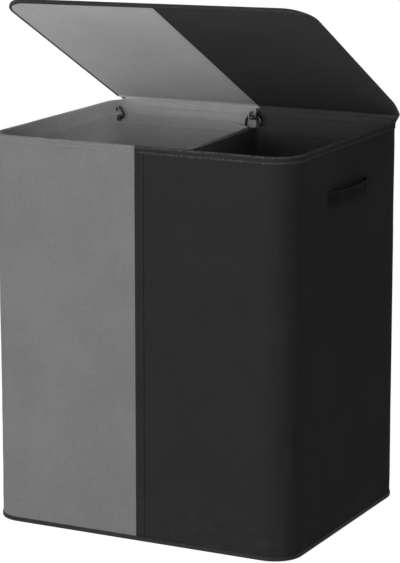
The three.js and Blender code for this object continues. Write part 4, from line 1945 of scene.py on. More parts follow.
@dataclass
class LinerBags(SubAssembly):
    """The two hanging bags, each a sagging shell of cloth with a folded hem."""

    ring_step: float = 6 * MM
    ring_turns: int = 8
    near: float = 6.1 * MM
    far: float = 242.1 * MM
    half_depth: float = 204.1 * MM
    radius: float = 12 * MM
    top: float = 616.9 * MM
    rim: float = 618 * MM
    floor: float = 6.3 * MM
    foot: float = 10 * MM
    thickness: float = 0.9 * MM
    hanger_y: float = 194 * MM
    eyelet_height: float = 607 * MM
    mouth_sag: float = 3.5 * MM
    spine_drop: float = 7 * MM
    sag_reach: float = 120 * MM
    room_half: tuple = (262.3 * MM, 214.3 * MM)
    room_radius: float = 40.3 * MM
    room_gap: float = 2.6 * MM
    room_tries: int = 60
    wall_step: float = 8 * MM
    # Distance from the middle of the hamper over which the mouth drops to the dividing sides
    spine_span: tuple = (70 * MM, 12 * MM)
    held_reach: float = 22 * MM
    free_of_spine: tuple = (14 * MM, 60 * MM)
    # Wavelength, height and stretch of what makes the walls and the floor uneven
    hand_seeds: int = 7
    broad_waves: tuple = (150 * MM, 1.0, 1.8)
    close_waves: tuple = (46 * MM, 1.0, 2.6)
    fine_waves: tuple = (17 * MM, 1.0, 1.5)
    wave_heights: tuple = (1.7 * MM, 0.75 * MM, 0.22 * MM)
    foot_rows: int = 5
    floor_rows: int = 15
    floor_start: float = 0.25
    floor_waves: tuple = (60 * MM, 1.6 * MM)
    floor_ridges: tuple = (150 * MM, 1.0, 0.7)
    floor_ridge_height: float = 1.4 * MM
    floor_lift: float = 1.2 * MM
    # Between which shares of its height the wall is free to move, low down and at the mouth
    free_low: tuple = (0.0, 0.12)
    free_high: tuple = (0.995, 0.90)
    # How far the walls hang in, and the creases that packing left across them
    hollow: float = 5.5 * MM
    hollow_power: float = 0.8
    crease_levels: tuple = (215 * MM, 420 * MM)
    crease_height: float = 0.8 * MM
    crease_reach: float = 2.5 * MM
    crease_waver: tuple = (260 * MM, 5 * MM)
    # Where the mouth flares to the wall: its heights in millimetres, how many millimetres
    # higher it does so beside the handles, and where that is
    flare_rise: tuple = (420, 596)
    flare_higher: tuple = (128, 6)
    flare_beside: tuple = (135 * MM, 112 * MM)
    flare_beyond: tuple = (120 * MM, 200 * MM)
    calm_rise: tuple = (500 * MM, 590 * MM)
    calm_share: float = 0.7
    most_out: float = 2.6 * MM
    # The folds that fan out from a hanger: height, count, how they fade and where they begin
    fold_height: float = 1.5 * MM
    fold_count: int = 7
    # What sets the folds of one hanger apart from another's: by its end, and by its row
    fold_turns: tuple = (0.8, 0.5)
    fold_fade: float = 110 * MM
    fold_start: tuple = (8 * MM, 40 * MM)
    fold_below: tuple = (-4 * MM, 12 * MM)
    hem_puckers: tuple = (14 * MM, 0.12 * MM, 0.4)
    hem_free: tuple = (6 * MM, 14 * MM)
    hem_outside: float = -0.5 * MM
    hem_worn: float = 1.2 * MM
    hem_thickness: float = 0.7 * MM
    # The hem's stitch rows: their drop below the mouth, and each one's distance out and side
    row_drop: float = 17.4 * MM
    rows_out: tuple = ((0.8 * MM, 1), (-1.35 * MM, -1))
    # Distance out from the bag's face and drop below the mouth of each point of the hem, in
    # millimetres
    hem_profile: tuple = (
        (0.35, 20.0), (0.7, 20.1), (0.95, 19.4), (1.0, 18.2), (0.8, 17.4), (0.9, 16.4),
        (1.0, 13.0), (0.95, 8.0), (1.0, 3.0), (0.7, 1.2), (0.2, 0.25), (-0.4, 0.0),
        (-0.9, 0.25), (-1.3, 1.2), (-1.5, 3.0), (-1.45, 8.0), (-1.5, 13.0), (-1.45, 16.4),
        (-1.3, 17.4), (-1.5, 18.2), (-1.45, 19.4), (-1.25, 20.1), (-1.0, 20.0),
    )

    def ring(self, hand: Hand) -> Run:
        """The bag's plan line.

        Args:
            hand: Which bag.

        Returns:
            The line.
        """
        low, high = sorted((hand.value * self.near, hand.value * self.far))
        return rounded_ring((low, -self.half_depth), (high, self.half_depth), self.radius,
                            self.ring_step, self.ring_turns)

    def slack(self, hand: Hand, ring: Run) -> np.ndarray:
        """How far each point of the plan line is from a held corner, from 0 to 1.

        Args:
            hand: Which bag.
            ring: The bag's plan line.

        Returns:
            The share for each point.
        """
        middle = hand.value * (self.near + self.far) / 2
        across = (ring.points[:, 0] - middle) / ((self.far - self.near) / 2)
        return 1 - across ** 2 * (ring.points[:, 1] / self.half_depth) ** 2

    def sag(self, hand: Hand, ring: Run) -> np.ndarray:
        """How far the mouth hangs below its corners at each point of the plan line.

        Args:
            hand: Which bag.
            ring: The bag's plan line.

        Returns:
            The drop of each point.
        """
        held = bump_at(np.abs(ring.points[:, 1]), self.hanger_y, self.held_reach)
        spine = smooth(hand.value * ring.points[:, 0], *self.spine_span)
        return self.mouth_sag * self.slack(hand, ring) * (1 - held) + self.spine_drop * spine

    def room(self, hand: Hand, ring: Run) -> np.ndarray:
        """How far each point can move out before it meets the wall; none at the spine.

        Args:
            hand: Which bag.
            ring: The bag's plan line.

        Returns:
            The distance for each point.
        """
        corner = np.array(self.room_half) - self.room_radius
        reach = np.zeros(len(ring.points))
        for _ in range(self.room_tries):
            beyond = np.abs(ring.points + ring.outward * reach[:, None]) - corner
            outside = np.linalg.norm(np.maximum(beyond, 0), axis=1)
            reach += self.room_radius - outside - np.minimum(beyond.max(1), 0)
        free = smooth(hand.value * ring.points[:, 0], *self.free_of_spine)
        return np.clip(reach - self.room_gap, 0, None) * free

    def bulge(self, hand: Hand, ring: Run, height: np.ndarray) -> np.ndarray:
        """How far the bag's wall stands out of its plan line.

        Args:
            hand: Which bag.
            ring: Its plan line.
            height: The height of each row.

        Returns:
            Distances outwards, as rows and points.
        """
        seed = Seed.BAG + self.hand_seeds * hand.value
        slack, along = self.slack(hand, ring)[None], ring.along[:-1][None]
        up = np.clip((height - self.floor) / (self.top - self.floor), 0, 1)[:, None]
        height = height[:, None]
        free = smooth(up, *self.free_low) * smooth(up, *self.free_high)
        broad, close, fine = (
            size * Unevenness(seed + index, *waves).at(along, height)
            for index, (size, waves) in enumerate(zip(
                self.wave_heights, (self.broad_waves, self.close_waves, self.fine_waves))))
        hollow = -self.hollow * slack * np.sin(math.pi * up) ** self.hollow_power
        waver = Unevenness(seed + 3, *self.crease_waver).at(along, 0)
        crease = sum(
            self.crease_height * np.exp(-np.abs(height - level - waver) / self.crease_reach)
            for level in self.crease_levels)
        total = (hollow + free * (broad + close + fine) + crease * free * slack
                 + self.tension(hand, ring, height) * free)
        side = (smooth(np.abs(ring.points[:, 1]), *self.flare_beside)
                * smooth(hand.value * ring.points[:, 0], *self.flare_beyond))[None]
        low, high = ((level + more * side) * MM
                     for level, more in zip(self.flare_rise, self.flare_higher))
        room = self.room(hand, ring)[None]
        flare = room * smooth((height - low) / (high - low), 0, 1)
        calm = 1 - self.calm_share * smooth(height, *self.calm_rise)
        return np.minimum(np.minimum(total, self.most_out) * calm + flare,
                          np.maximum(room, self.most_out))

    def tension(self, hand: Hand, ring: Run, height: np.ndarray) -> np.ndarray:
        """Folds that fan out downwards from the four hangers.

        Args:
            hand: Which bag.
            ring: The bag's plan line.
            height: The height of each row.

        Returns:
            Distances outwards, as rows and points.
        """
        total = 0.0
        for row in Row:
            edge = hand.value * (self.far if row is Row.OUTER else self.near)
            for end in End:
                gap = ring.points - np.array([edge, end.value * self.hanger_y])
                first = int(np.argmin(np.linalg.norm(gap, axis=1)))
                length = ring.along[-1]
                across = (ring.along[:-1] - ring.along[first] + length / 2) % length - length / 2
                drop = self.eyelet_height - height
                reach = np.hypot(across[None], drop)
                angle = np.arctan2(across[None], np.maximum(drop, 1 * MM))
                by_end, by_row = self.fold_turns
                folds = np.cos(self.fold_count * angle + by_end * end.value + by_row * row.value)
                folds = self.fold_height * folds * np.exp(-reach / self.fold_fade)
                total = total + folds * smooth(reach, *self.fold_start) * smooth(
                    drop, *self.fold_below)
        return total

    def build(self) -> None:
        """Makes both bags."""
        for hand in Hand:
            bag = self.build_bag(hand)
            hem, seams = self.build_hem(hand)
            [f"hook_{hand.side}_{r}_{e.place}" for r in ("outer", "inner")
                               for e in End]

    def build_bag(self, hand: Hand) -> bpy.types.Object:
        """The walls and the floor of one bag, in one cloth.

        Args:
            hand: Which bag.

        Returns:
            The bag.
        """
        ring, colour = self.ring(hand), hand.colour
        walls = spaced(self.wall_step, self.floor + self.foot, self.top)[::-1]
        inset = -self.bulge(hand, ring, walls)
        share = smooth(walls, self.top - self.sag_reach, self.top)[:, None]
        rows = [ring.place(inset, walls[:, None] - self.sag(hand, ring)[None] * share)]
        foot = rows[0][-1]
        ground = Unevenness(Seed.BAG_FLOOR + hand.value, *self.floor_waves)
        ridges = Unevenness(Seed.BAG_FLOOR + 4 + hand.value, *self.floor_ridges)
        for angle in np.linspace(0, math.pi / 2, self.foot_rows)[1:]:
            step = ring.place([self.foot * (1 - math.cos(angle))],
                              [self.floor + self.foot * (1 - math.sin(angle))])[0]
            blend = 1 - angle / (math.pi / 2)
            step[:, :2] += (foot[:, :2] - ring.points) * blend
            rows.append(step[None])
        edge = rows[-1][0]
        middle_x = hand.value * (self.near + self.far) / 2
        reach = self.half_depth - (self.far - self.near) / 2
        spine = np.stack([np.full(len(edge), middle_x), np.clip(edge[:, 1], -reach, reach)], 1)
        for inward in np.linspace(0, 1, self.floor_rows)[1:]:
            plan = edge[:, :2] + (spine - edge[:, :2]) * inward
            soft = smooth(inward, 0.0, self.floor_start) * (
                self.floor_lift + ground.at(*plan.T)
                + self.floor_ridge_height * np.abs(ridges.at(*plan.T)))
            level = self.floor + np.maximum(soft, 0)
            rows.append(np.concatenate([plan, level[:, None]], 1)[None])
        points = np.concatenate(rows)
        cloth = paired(ring.along[None], -lengths_along(points[:, 0])[:, None])
        bag = woven(f"{colour}_bag", points, cloth, closed=True, flip=True)
        join_doubles(bag)
        self.settle(thicken(bag, self.thickness), self.palette.bag[hand], "shell",
                    f"lining_{colour}", f"liner_{colour}")
        return bag

    def build_hem(self, hand: Hand) -> tuple[bpy.types.Object, bpy.types.Object]:
        """The folded hem of one mouth, and its stitches.

        Args:
            hand: Which bag.

        Returns:
            The hem and the stitches.
        """
        ring = self.ring(hand)
        out, drop = np.array(self.hem_profile).T * MM
        height = self.rim - drop
        bulge = self.bulge(hand, ring, np.minimum(height, self.top))
        pucker = Unevenness(Seed.BAG_HEM + hand.value, *self.hem_puckers)
        ripple = pucker.at(ring.along[:-1][None], height[:, None])
        away = np.abs(np.abs(ring.points[:, 1]) - self.hanger_y)
        ripple = np.abs(ripple) * smooth(away, *self.hem_free)[None]
        sign = np.where(out > self.hem_outside, -1, 1)[:, None]
        inset = -out[:, None] - bulge + sign * ripple
        level = height[:, None] - self.sag(hand, ring)[None]
        hem = banded(f"{hand.colour}_bag_hem", ring, inset, level,
                     worn=bump_at(drop, 0, self.hem_worn)[:, None])
        slot = f"lining_{hand.colour}"
        self.settle(thicken(hem, self.hem_thickness), self.palette.bag[hand], "shell", slot,
                    f"liner_hem_{hand.colour}")
        height = np.array([self.rim - self.row_drop])
        bulge = self.bulge(hand, ring, height)
        level = height[:, None] - self.sag(hand, ring)[None]
        seams = self.stitch(f"{hand.colour}_bag_stitches", [
            (ring.place(-out - bulge, level)[0], side * ring.directions(1)[0])
            for out, side in self.rows_out
        ], self.palette.lining_thread[hand], "shell", slot)
        return hem, seams


@dataclass
class Hangers(SubAssembly):
    """The eight hangers: a cloth tab, a bent wire hook and an eyelet in the bag's hem."""

    hanger_y: dict = field(default_factory=lambda: {Row.OUTER: 192 * MM, Row.INNER: 204.5 * MM})
    tab_x: dict = field(default_factory=lambda: {Row.OUTER: 252.8 * MM, Row.INNER: 7.0 * MM})
    bag_x: dict = field(default_factory=lambda: {Row.OUTER: 252.8 * MM, Row.INNER: 6.1 * MM})
    tab_root: dict = field(default_factory=lambda: {Row.OUTER: 201.5 * MM, Row.INNER: 213.9 * MM})
    tab_nose: float = 5.0 * MM
    tab_low: float = 623.4 * MM
    tab_high: float = 636.6 * MM
    tab_slope: float = 0.17
    tab_hole: float = 628 * MM
    hole_radius: float = 3.0 * MM
    tab_thickness: float = 1.6 * MM
    eyelet_height: dict = field(default_factory=lambda: {
        Row.OUTER: 609.5 * MM, Row.INNER: 602.5 * MM})
    wire_radius: float = 2.4 * MM
    top_curl: float = 4.3 * MM
    low_curl: dict = field(default_factory=lambda: {Row.OUTER: 5.5 * MM, Row.INNER: 4.6 * MM})
    handle_share: float = 0.42
    stack_in: float = 1.5 * MM
    stack_out: float = 1.0 * MM
    flange: float = 0.7 * MM
    gap: float = 0.3 * MM
    tip: float = 1.2 * MM
    bore: float = 3.2 * MM
    tube: float = 4.1 * MM
    flange_radius: float = 6.2 * MM
    lip: float = 0.35 * MM
    lip_start: float = 0.1 * MM
    throat: float = 1.1 * MM
    tab_corner: float = 2.2 * MM
    tab_bevel: float = 0.35 * MM
    tab_rings: tuple = (0, 0.12, 0.35, 0.65, 0.9, 1)
    # How many sides the wire, the hole of a tab and an eyelet have
    wire_sides: int = 16
    tab_sides: int = 56
    eyelet_sides: int = 40
    # How many points the wire's upper curl, shank, lower curl, last straight and ends have
    curl_points: int = 25
    shank_points: int = 17
    low_points: int = 13
    last_points: int = 8
    dome_points: int = 6
    dome_least: float = 0.05
    lip_points: int = 7
    throat_points: int = 6
    # From where to where the wire's upper curl runs, in degrees, and its lean on leaving it
    curl_span: tuple = (210, 30)
    leave: tuple = (0.5, -math.sqrt(0.75))

    def build(self) -> None:
        """Makes the eight hangers."""
        for hand in Hand:
            for row in Row:
                for end in End:
                    self.build_one(hand, row, end)

    def build_one(self, hand: Hand, row: Row, end: End) -> None:
        """One tab, hook and eyelet.

        Args:
            hand: Which half.
            row: Which row, outer or inner.
            end: Which end, front or back.
        """
        label = f"{hand.side}_{row.name.lower()}_{end.place}"
        tab = self.tab(f"tab_{label}", hand, row, end)
        self.settle(tab, self.palette.facing[hand], "shell", f"lining_{hand.colour}",
                    f"hook_tab_{label}")
        hook = self.hook(f"wire_hook_{label}", hand, row, end)
        self.settle(hook, self.palette.wire, "shell", "wire_black", f"hook_{label}")
        eyelet = self.eyelet(f"steel_eyelet_{label}", hand, row, end)
        self.settle(eyelet, self.palette.steel, "shell", "eyelet_steel", f"eyelet_{label}")

    def route(self, row: Row) -> np.ndarray:
        """The hook's line in its upright plane: distance towards the bag's inside, and height.

        Args:
            row: Which row, outer or inner.

        Returns:
            The points of the line, from the upper curl to the tip.
        """
        eyelet, low = self.eyelet_height[row], self.low_curl[row]
        bag_face = (self.bag_x[row] - self.tab_x[row]) * row.value
        centre = self.tab_hole - self.top_curl
        angle = np.radians(np.linspace(*self.curl_span, self.curl_points))
        top = np.stack([np.cos(angle), np.sin(angle)], 1) * self.top_curl + (0, centre)
        belly = bag_face + self.stack_in + self.flange + 2 * self.gap + low
        low_start = np.array([belly, eyelet + low])
        handle = self.handle_share * np.linalg.norm(low_start - top[-1])
        knots = (top[-1], top[-1] + np.array(self.leave) * handle,
                 low_start + (0, handle), low_start)
        share = np.linspace(0, 1, self.shank_points)[1:, None]
        weights = ((1 - share) ** 3, 3 * share * (1 - share) ** 2,
                   3 * share ** 2 * (1 - share), share ** 3)
        shank = sum(w * k for w, k in zip(weights, knots))
        turn = np.linspace(0, -math.pi / 2, self.low_points)[1:]
        curl = np.stack([np.cos(turn), np.sin(turn)], 1) * low
        curl += (belly - low, eyelet + low)
        tip = bag_face - self.stack_out - self.gap - self.flange - self.tip
        last = np.linspace(curl[-1], (tip, eyelet), self.last_points)[1:]
        return np.concatenate([top, shank, curl, last])

    def hook(self, name: str, hand: Hand, row: Row, end: End) -> bpy.types.Object:
        """The bent wire, with rounded ends.

        Args:
            name: The piece's name.
            hand: Which half.
            row: Which row, outer or inner.
            end: Which end, front or back.

        Returns:
            The hook.
        """
        line = self.route(row)
        inward = hand.value * row.value
        centres = np.stack([hand.value * self.tab_x[row] + inward * line[:, 0],
                            np.full(len(line), end.value * self.hanger_y[row]), line[:, 1]], 1)
        along = lengths_along(centres)
        dome = self.wire_radius * (1 - np.cos(np.linspace(0, math.pi / 2, self.dome_points)))
        at = np.unique(np.concatenate([dome, along[(along > dome[-1])
                                                   & (along < along[-1] - dome[-1])],
                                       along[-1] - dome]))
        centres = read_along(centres, along, at)
        ends = np.minimum(at, at[-1] - at)
        into = 1 - np.clip(ends / self.wire_radius, 0, 1)
        scale = np.maximum(np.sqrt(1 - into ** 2), self.dome_least)
        ahead, side = unit(np.gradient(centres, axis=0)), facing_all(centres, 0, 1, 0)
        section = unit_circle(self.wire_sides) * self.wire_radius
        return swept(name, centres, np.cross(side, ahead), side, section, scale)

    def eyelet(self, name: str, hand: Hand, row: Row, end: End) -> bpy.types.Object:
        """The rolled steel spool through the hem.

        Args:
            name: The piece's name.
            hand: Which half.
            row: Which row, outer or inner.
            end: Which end, front or back.

        Returns:
            The eyelet.
        """
        inward = hand.value * row.value
        out_face, in_face = -(self.stack_out + self.gap), self.stack_in + self.gap
        profile = []
        for face, sign in ((out_face, -1), (in_face, 1)):
            edge = self.flange_radius - self.lip
            angle = np.linspace(-math.pi / 2, math.pi / 2, self.lip_points)
            rim = np.stack([edge + self.lip * np.cos(angle),
                            face + sign * (self.lip + self.lip * np.sin(angle))], 1)
            angle = np.linspace(0, math.pi / 2, self.throat_points)
            throat = np.stack([self.bore + self.throat * (1 - np.sin(angle)),
                               face + sign * self.flange * np.cos(angle)], 1)
            part = [(self.tube + self.lip_start, face), (edge, face), *rim, *throat]
            profile += part[::-1] if sign < 0 else part
        profile = np.array(profile[::-1])
        radius, along = profile[:, :1], profile[:, 1:]
        ring, sides = unit_circle(self.eyelet_sides).T[:, None], self.eyelet_sides
        points = np.stack([
            np.broadcast_to(hand.value * self.bag_x[row] + inward * along, (len(profile), sides)),
            end.value * self.hanger_y[row] + radius * ring[0],
            self.eyelet_height[row] + radius * ring[1]], -1)
        points = np.concatenate([points, points[:1]])
        cloth = np.zeros((len(points), sides + 1, 2))
        spool = woven(name, points, cloth, closed=True, flip=inward < 0)
        join_doubles(spool)
        return spool

    def tab(self, name: str, hand: Hand, row: Row, end: End) -> bpy.types.Object:
        """The folded cloth tab, with the hole that the hook passes through.

        Args:
            name: The piece's name.
            hand: Which half.
            row: Which row, outer or inner.
            end: Which end, front or back.

        Returns:
            The tab.
        """
        ray = unit_circle(self.tab_sides)
        low = np.array([-self.tab_nose, self.tab_low - self.tab_hole])
        high = np.array([self.tab_root[row] - self.hanger_y[row], self.tab_high - self.tab_hole])
        with np.errstate(divide="ignore"):
            reach = np.where(ray > 0, high / ray, low / ray)
        limit = np.abs(reach).min(1)
        edge = ray * limit[:, None]
        for sign, corner in ((1, high[1]), (-1, low[1])):
            centre = np.array([low[0] + self.tab_corner, corner - sign * self.tab_corner])
            beyond = (edge[:, 0] < centre[0]) & (sign * edge[:, 1] > sign * centre[1])
            away = edge[beyond] - centre
            edge[beyond] = centre + away / np.maximum(
                np.linalg.norm(away, axis=1, keepdims=True) / self.tab_corner, 1)
        edge[:, 1] = np.minimum(edge[:, 1], high[1] - self.tab_slope * (high[0] - edge[:, 0]))
        hole = ray * self.hole_radius
        share = np.array(self.tab_rings)[:, None, None]
        plane = hole + (edge - hole) * share
        x = hand.value * self.tab_x[row]
        points = np.stack([np.full(plane.shape[:2], x),
                           end.value * (self.hanger_y[row] + plane[..., 0]),
                           self.tab_hole + plane[..., 1]], -1)
        cloth = np.concatenate([plane, plane[:, :1]], 1)
        tab = woven(name, points, cloth, closed=True)
        thicken(tab, self.tab_thickness, 0.0)
        bevel = tab.modifiers.new("Soft edges", "BEVEL")
        bevel.width, bevel.segments, bevel.limit_method = self.tab_bevel, 2, "ANGLE"
        return tab


@dataclass
class Lid(SubAssembly):
    """The flap lid: cover and lining in two colours over a board, bound round its edge."""

    axis_y: float = 223 * MM
    axis_z: float = 647 * MM
    opening: float = math.radians(27.5)
    half_width: float = 270 * MM
    gap: float = 2.2 * MM
    length: float = 442 * MM
    radius: float = 46 * MM
    back_radius: float = 4 * MM
    drawn_in: float = 9 * MM
    drawn_from: float = 60 * MM
    warp: float = 5.2 * MM
    cloth_inset: float = 1.1 * MM
    seam_x: float = 4 * MM
    seam_gap: float = 0.15 * MM
    cover_top: float = -0.9 * MM
    lining_bottom: float = -5.6 * MM
    thickness: float = 0.8 * MM
    board_top: float = -2.0 * MM
    board_thickness: float = 2.5 * MM
    binding_thickness: float = 0.6 * MM
    # Where the drawn-in corner begins, as a share of the half width, and how sharply it draws in
    drawn_share: float = 0.4
    drawn_power: float = 1.6
    # Wavelength, height and stretch of what makes the cloth and the binding uneven
    broad_waves: tuple = (170 * MM, 0.28 * MM)
    close_waves: tuple = (48 * MM, 0.09 * MM)
    puckers: tuple = (17 * MM, 0.16 * MM)
    binding_puckers: tuple = (16 * MM, 0.09 * MM, 0.5)
    # How far the cloth stands out evenly, and from where to where it comes free of what holds it
    stand: float = 0.5 * MM
    free_of_edge: tuple = (4 * MM, 26 * MM)
    free_of_seam: tuple = (0.5 * MM, 9 * MM)
    puckered: tuple = (9 * MM, 5 * MM)
    binding_middle: float = -3.25 * MM
    binding_half: float = 3.2 * MM
    binding_worn: float = 1.2 * MM
    # Distances from the colour seam of the columns beside it and of its stitch rows
    seam_columns: tuple = (2 * MM, 5 * MM)
    seam_row: float = 2.2 * MM
    seam_row_lift: float = 0.1 * MM
    edge_turns: int = 18
    seam_row_points: int = 60
    seam_row_margin: float = 7 * MM
    # Distance in from the lid's edge and height of each point of the binding's section, in
    # millimetres
    binding_profile: tuple = (
        (3.1, -5.3), (3.3, -5.5), (3.2, -5.75), (2.7, -5.9), (2.1, -5.75), (1.5, -5.9),
        (0.7, -5.75), (0.1, -5.1), (-0.05, -4.0), (-0.05, -2.4), (0.1, -1.0),
        (0.7, -0.2), (1.7, 0.1), (3.4, 0.1), (4.3, -0.2), (5.2, 0.05), (6.1, -0.1),
        (6.3, -0.45), (6.1, -0.75),
    )
    # The same for its two rows of stitches, with the side that each one faces
    stitch_lines: tuple = ((4.3, -0.15, 1), (2.1, -6.2, -1))

    def place(self, points: np.ndarray) -> np.ndarray:
        """Carries points from the level lid, whose hinge is the origin, to where it rests.

        Args:
            points: Points in the lid's own frame.

        Returns:
            The same points in the hamper's frame.
        """
        level = np.array(points, float)
        along = np.clip(-level[..., 1] - self.gap, 0, None)
        level[..., 2] += self.warp * (1 + level[..., 0] / self.half_width) * along / self.length
        near = np.clip((self.drawn_from - along) / self.drawn_from, 0, 1)
        outer = smooth(level[..., 0], self.drawn_share * self.half_width, self.half_width)
        level[..., 0] -= self.drawn_in * outer * near ** self.drawn_power
        return self.turned(level) + (0, self.axis_y, self.axis_z)

    def turned(self, directions: np.ndarray) -> np.ndarray:
        """Turns directions from the level lid to where it rests.

        Args:
            directions: Directions on the level lid.

        Returns:
            The same directions in the hamper's frame.
        """
        x, y, z = np.moveaxis(directions, -1, 0)
        cos, sin = math.cos(self.opening), math.sin(self.opening)
        return np.stack([x, y * cos + z * sin, z * cos - y * sin], -1)

    def row(self, line: np.ndarray, side: int) -> tuple[np.ndarray, np.ndarray]:
        """A row of stitches given on the level lid, on its upper or its lower side."""
        return self.place(line), self.turned(facing_all(line, 0, 0, side))

    def edge(self) -> Run:
        """The lid's bound edge in its own frame: three sides, open along the hinge.

        Returns:
            The line.
        """
        ring = rounded_ring((-self.half_width, -self.gap - self.length),
                            (self.half_width, -self.gap), self.radius,
                            turns=self.edge_turns, back_radius=self.back_radius)
        back = np.flatnonzero(ring.outward[:, 1] > 0.9999)
        kept = (back[-1] + np.arange(len(ring.points) - len(back) + 2)) % len(ring.points)
        points = ring.points[kept]
        return Run(points, ring.outward[kept], lengths_along(points))

    def puff(self, seed: int, x: np.ndarray, y: np.ndarray) -> np.ndarray:
        """How far the cloth stands off the board, held down at its binding and its seam.

        Args:
            seed: What sets its waves apart.
            x: Where, across the lid.
            y: Where, along the lid.

        Returns:
            The height at each place.
        """
        to_side = self.half_width - np.abs(x)
        to_end = np.minimum(-self.gap - y, self.length + self.gap + y)
        to_edge = np.minimum(to_side, to_end)
        free = smooth(to_edge, *self.free_of_edge)
        seam = smooth(np.abs(x - self.seam_x), *self.free_of_seam)
        broad, close, pucker = (
            Unevenness(seed + index, *waves).at(x, y)
            for index, waves in enumerate((self.broad_waves, self.close_waves, self.puckers)))
        puckered = np.abs(pucker) * bump_at(to_edge, *self.puckered)
        return (self.stand + broad + close) * free * seam + puckered * seam

    def build(self) -> None:
        """Makes the lid's pieces."""
        covers = {hand: self.build_half(hand) for hand in Hand}
        edge = self.edge()
        inset, height = np.array(self.binding_profile).T * MM
        ripple = Unevenness(Seed.LID_BINDING, *self.binding_puckers).at(
            edge.along[None], inset[:, None])
        middle = self.binding_middle
        level = middle + (height[:, None] - middle) * (1 + np.abs(ripple) / self.binding_half)
        binding = banded("lid_edge_binding", edge, inset, level, place=self.place, flip=True,
                         worn=bump_at(inset, 0, self.binding_worn)[:, None])
        self.settle(thicken(binding, self.binding_thickness), self.palette.tape, "lid", "webbing",
                    "lid_binding")
        rows = [self.row(edge.place([inward * MM], [level * MM])[0], side)
                for inward, level, side in self.stitch_lines]
        seams = self.stitch("lid_binding_stitches", rows, self.palette.thread[Hand.RIGHT], "lid",
                            "webbing")
        inset = self.cloth_inset
        board = flat_panel(
            "lid_stiffener", (inset - self.half_width, inset - self.gap - self.length),
            (self.half_width - inset, -self.gap - inset), self.radius - inset,
            lambda x, y: self.board_top + 0 * x, True, self.place,
            back_radius=self.back_radius - inset)
        self.settle(thicken(board, self.board_thickness), self.palette.card, "lid", "card",
                    "lid_board")

    def build_half(self, hand: Hand) -> tuple[bpy.types.Object, ...]:
        """The cover, the lining and, on the black side, the seam stitches of one half.

        Args:
            hand: Which half.

        Returns:
            The three pieces; the last is None on the grey side.
        """
        colour = hand.colour
        outer = self.half_width - self.cloth_inset
        inner = self.seam_x + hand.value * self.seam_gap
        low_x, high_x = sorted((hand.value * outer, inner))
        low = (low_x, -self.gap - self.length + self.cloth_inset)
        high = (high_x, -self.gap - self.cloth_inset)
        rounded = (hand is Hand.LEFT, hand is Hand.RIGHT)
        near_seam = [self.seam_x + hand.value * away for away in self.seam_columns]
        seed = Seed.LID + 10 * hand.value

        def top(x: np.ndarray, y: np.ndarray) -> np.ndarray:
            """The height of the cover's outer face."""
            return self.cover_top + self.puff(seed, x, y)

        def under(x: np.ndarray, y: np.ndarray) -> np.ndarray:
            """The height of the lining's outer face."""
            return self.lining_bottom - self.puff(seed + 5, x, y)

        shape = {"radius": self.radius - self.cloth_inset, "place": self.place,
                 "rounded": rounded, "marks": near_seam,
                 "back_radius": self.back_radius - self.cloth_inset}
        cover = flat_panel(f"{colour}_lid_cover", low, high, height=top, upward=True, **shape)
        self.settle(thicken(cover, self.thickness), self.palette.cloth[hand], "lid",
                    f"cloth_{colour}", f"lid_cover_{colour}")
        # The grey lining's lighter tone is painted light on the lid's underside
        lining = flat_panel(f"{colour}_lid_lining", low, high, height=under, upward=False, **shape)
        self.settle(thicken(lining, self.thickness), self.palette.lining[hand], "lid",
                    f"lining_{colour}", f"lid_lining_{colour}")
        seam = self.seam_stitches() if hand is Hand.RIGHT else None
        return cover, lining, seam

    def seam_stitches(self) -> bpy.types.Object:
        """The rows beside the colour seam, on both faces.

        Returns:
            The stitches.
        """
        margin, lift = self.seam_row_margin, self.seam_row_lift
        y = np.linspace(-self.gap - self.length + margin, -self.gap - margin,
                        self.seam_row_points)
        lines = [
            (np.stack(np.broadcast_arrays(self.seam_x + self.seam_row, y, level), 1), side)
            for level, side in ((self.cover_top + lift, 1), (self.lining_bottom - lift, -1))]
        return self.stitch("lid_seam_stitches", [self.row(line, side) for line, side in lines],
                           self.palette.thread[Hand.RIGHT], "lid", "cloth_black")


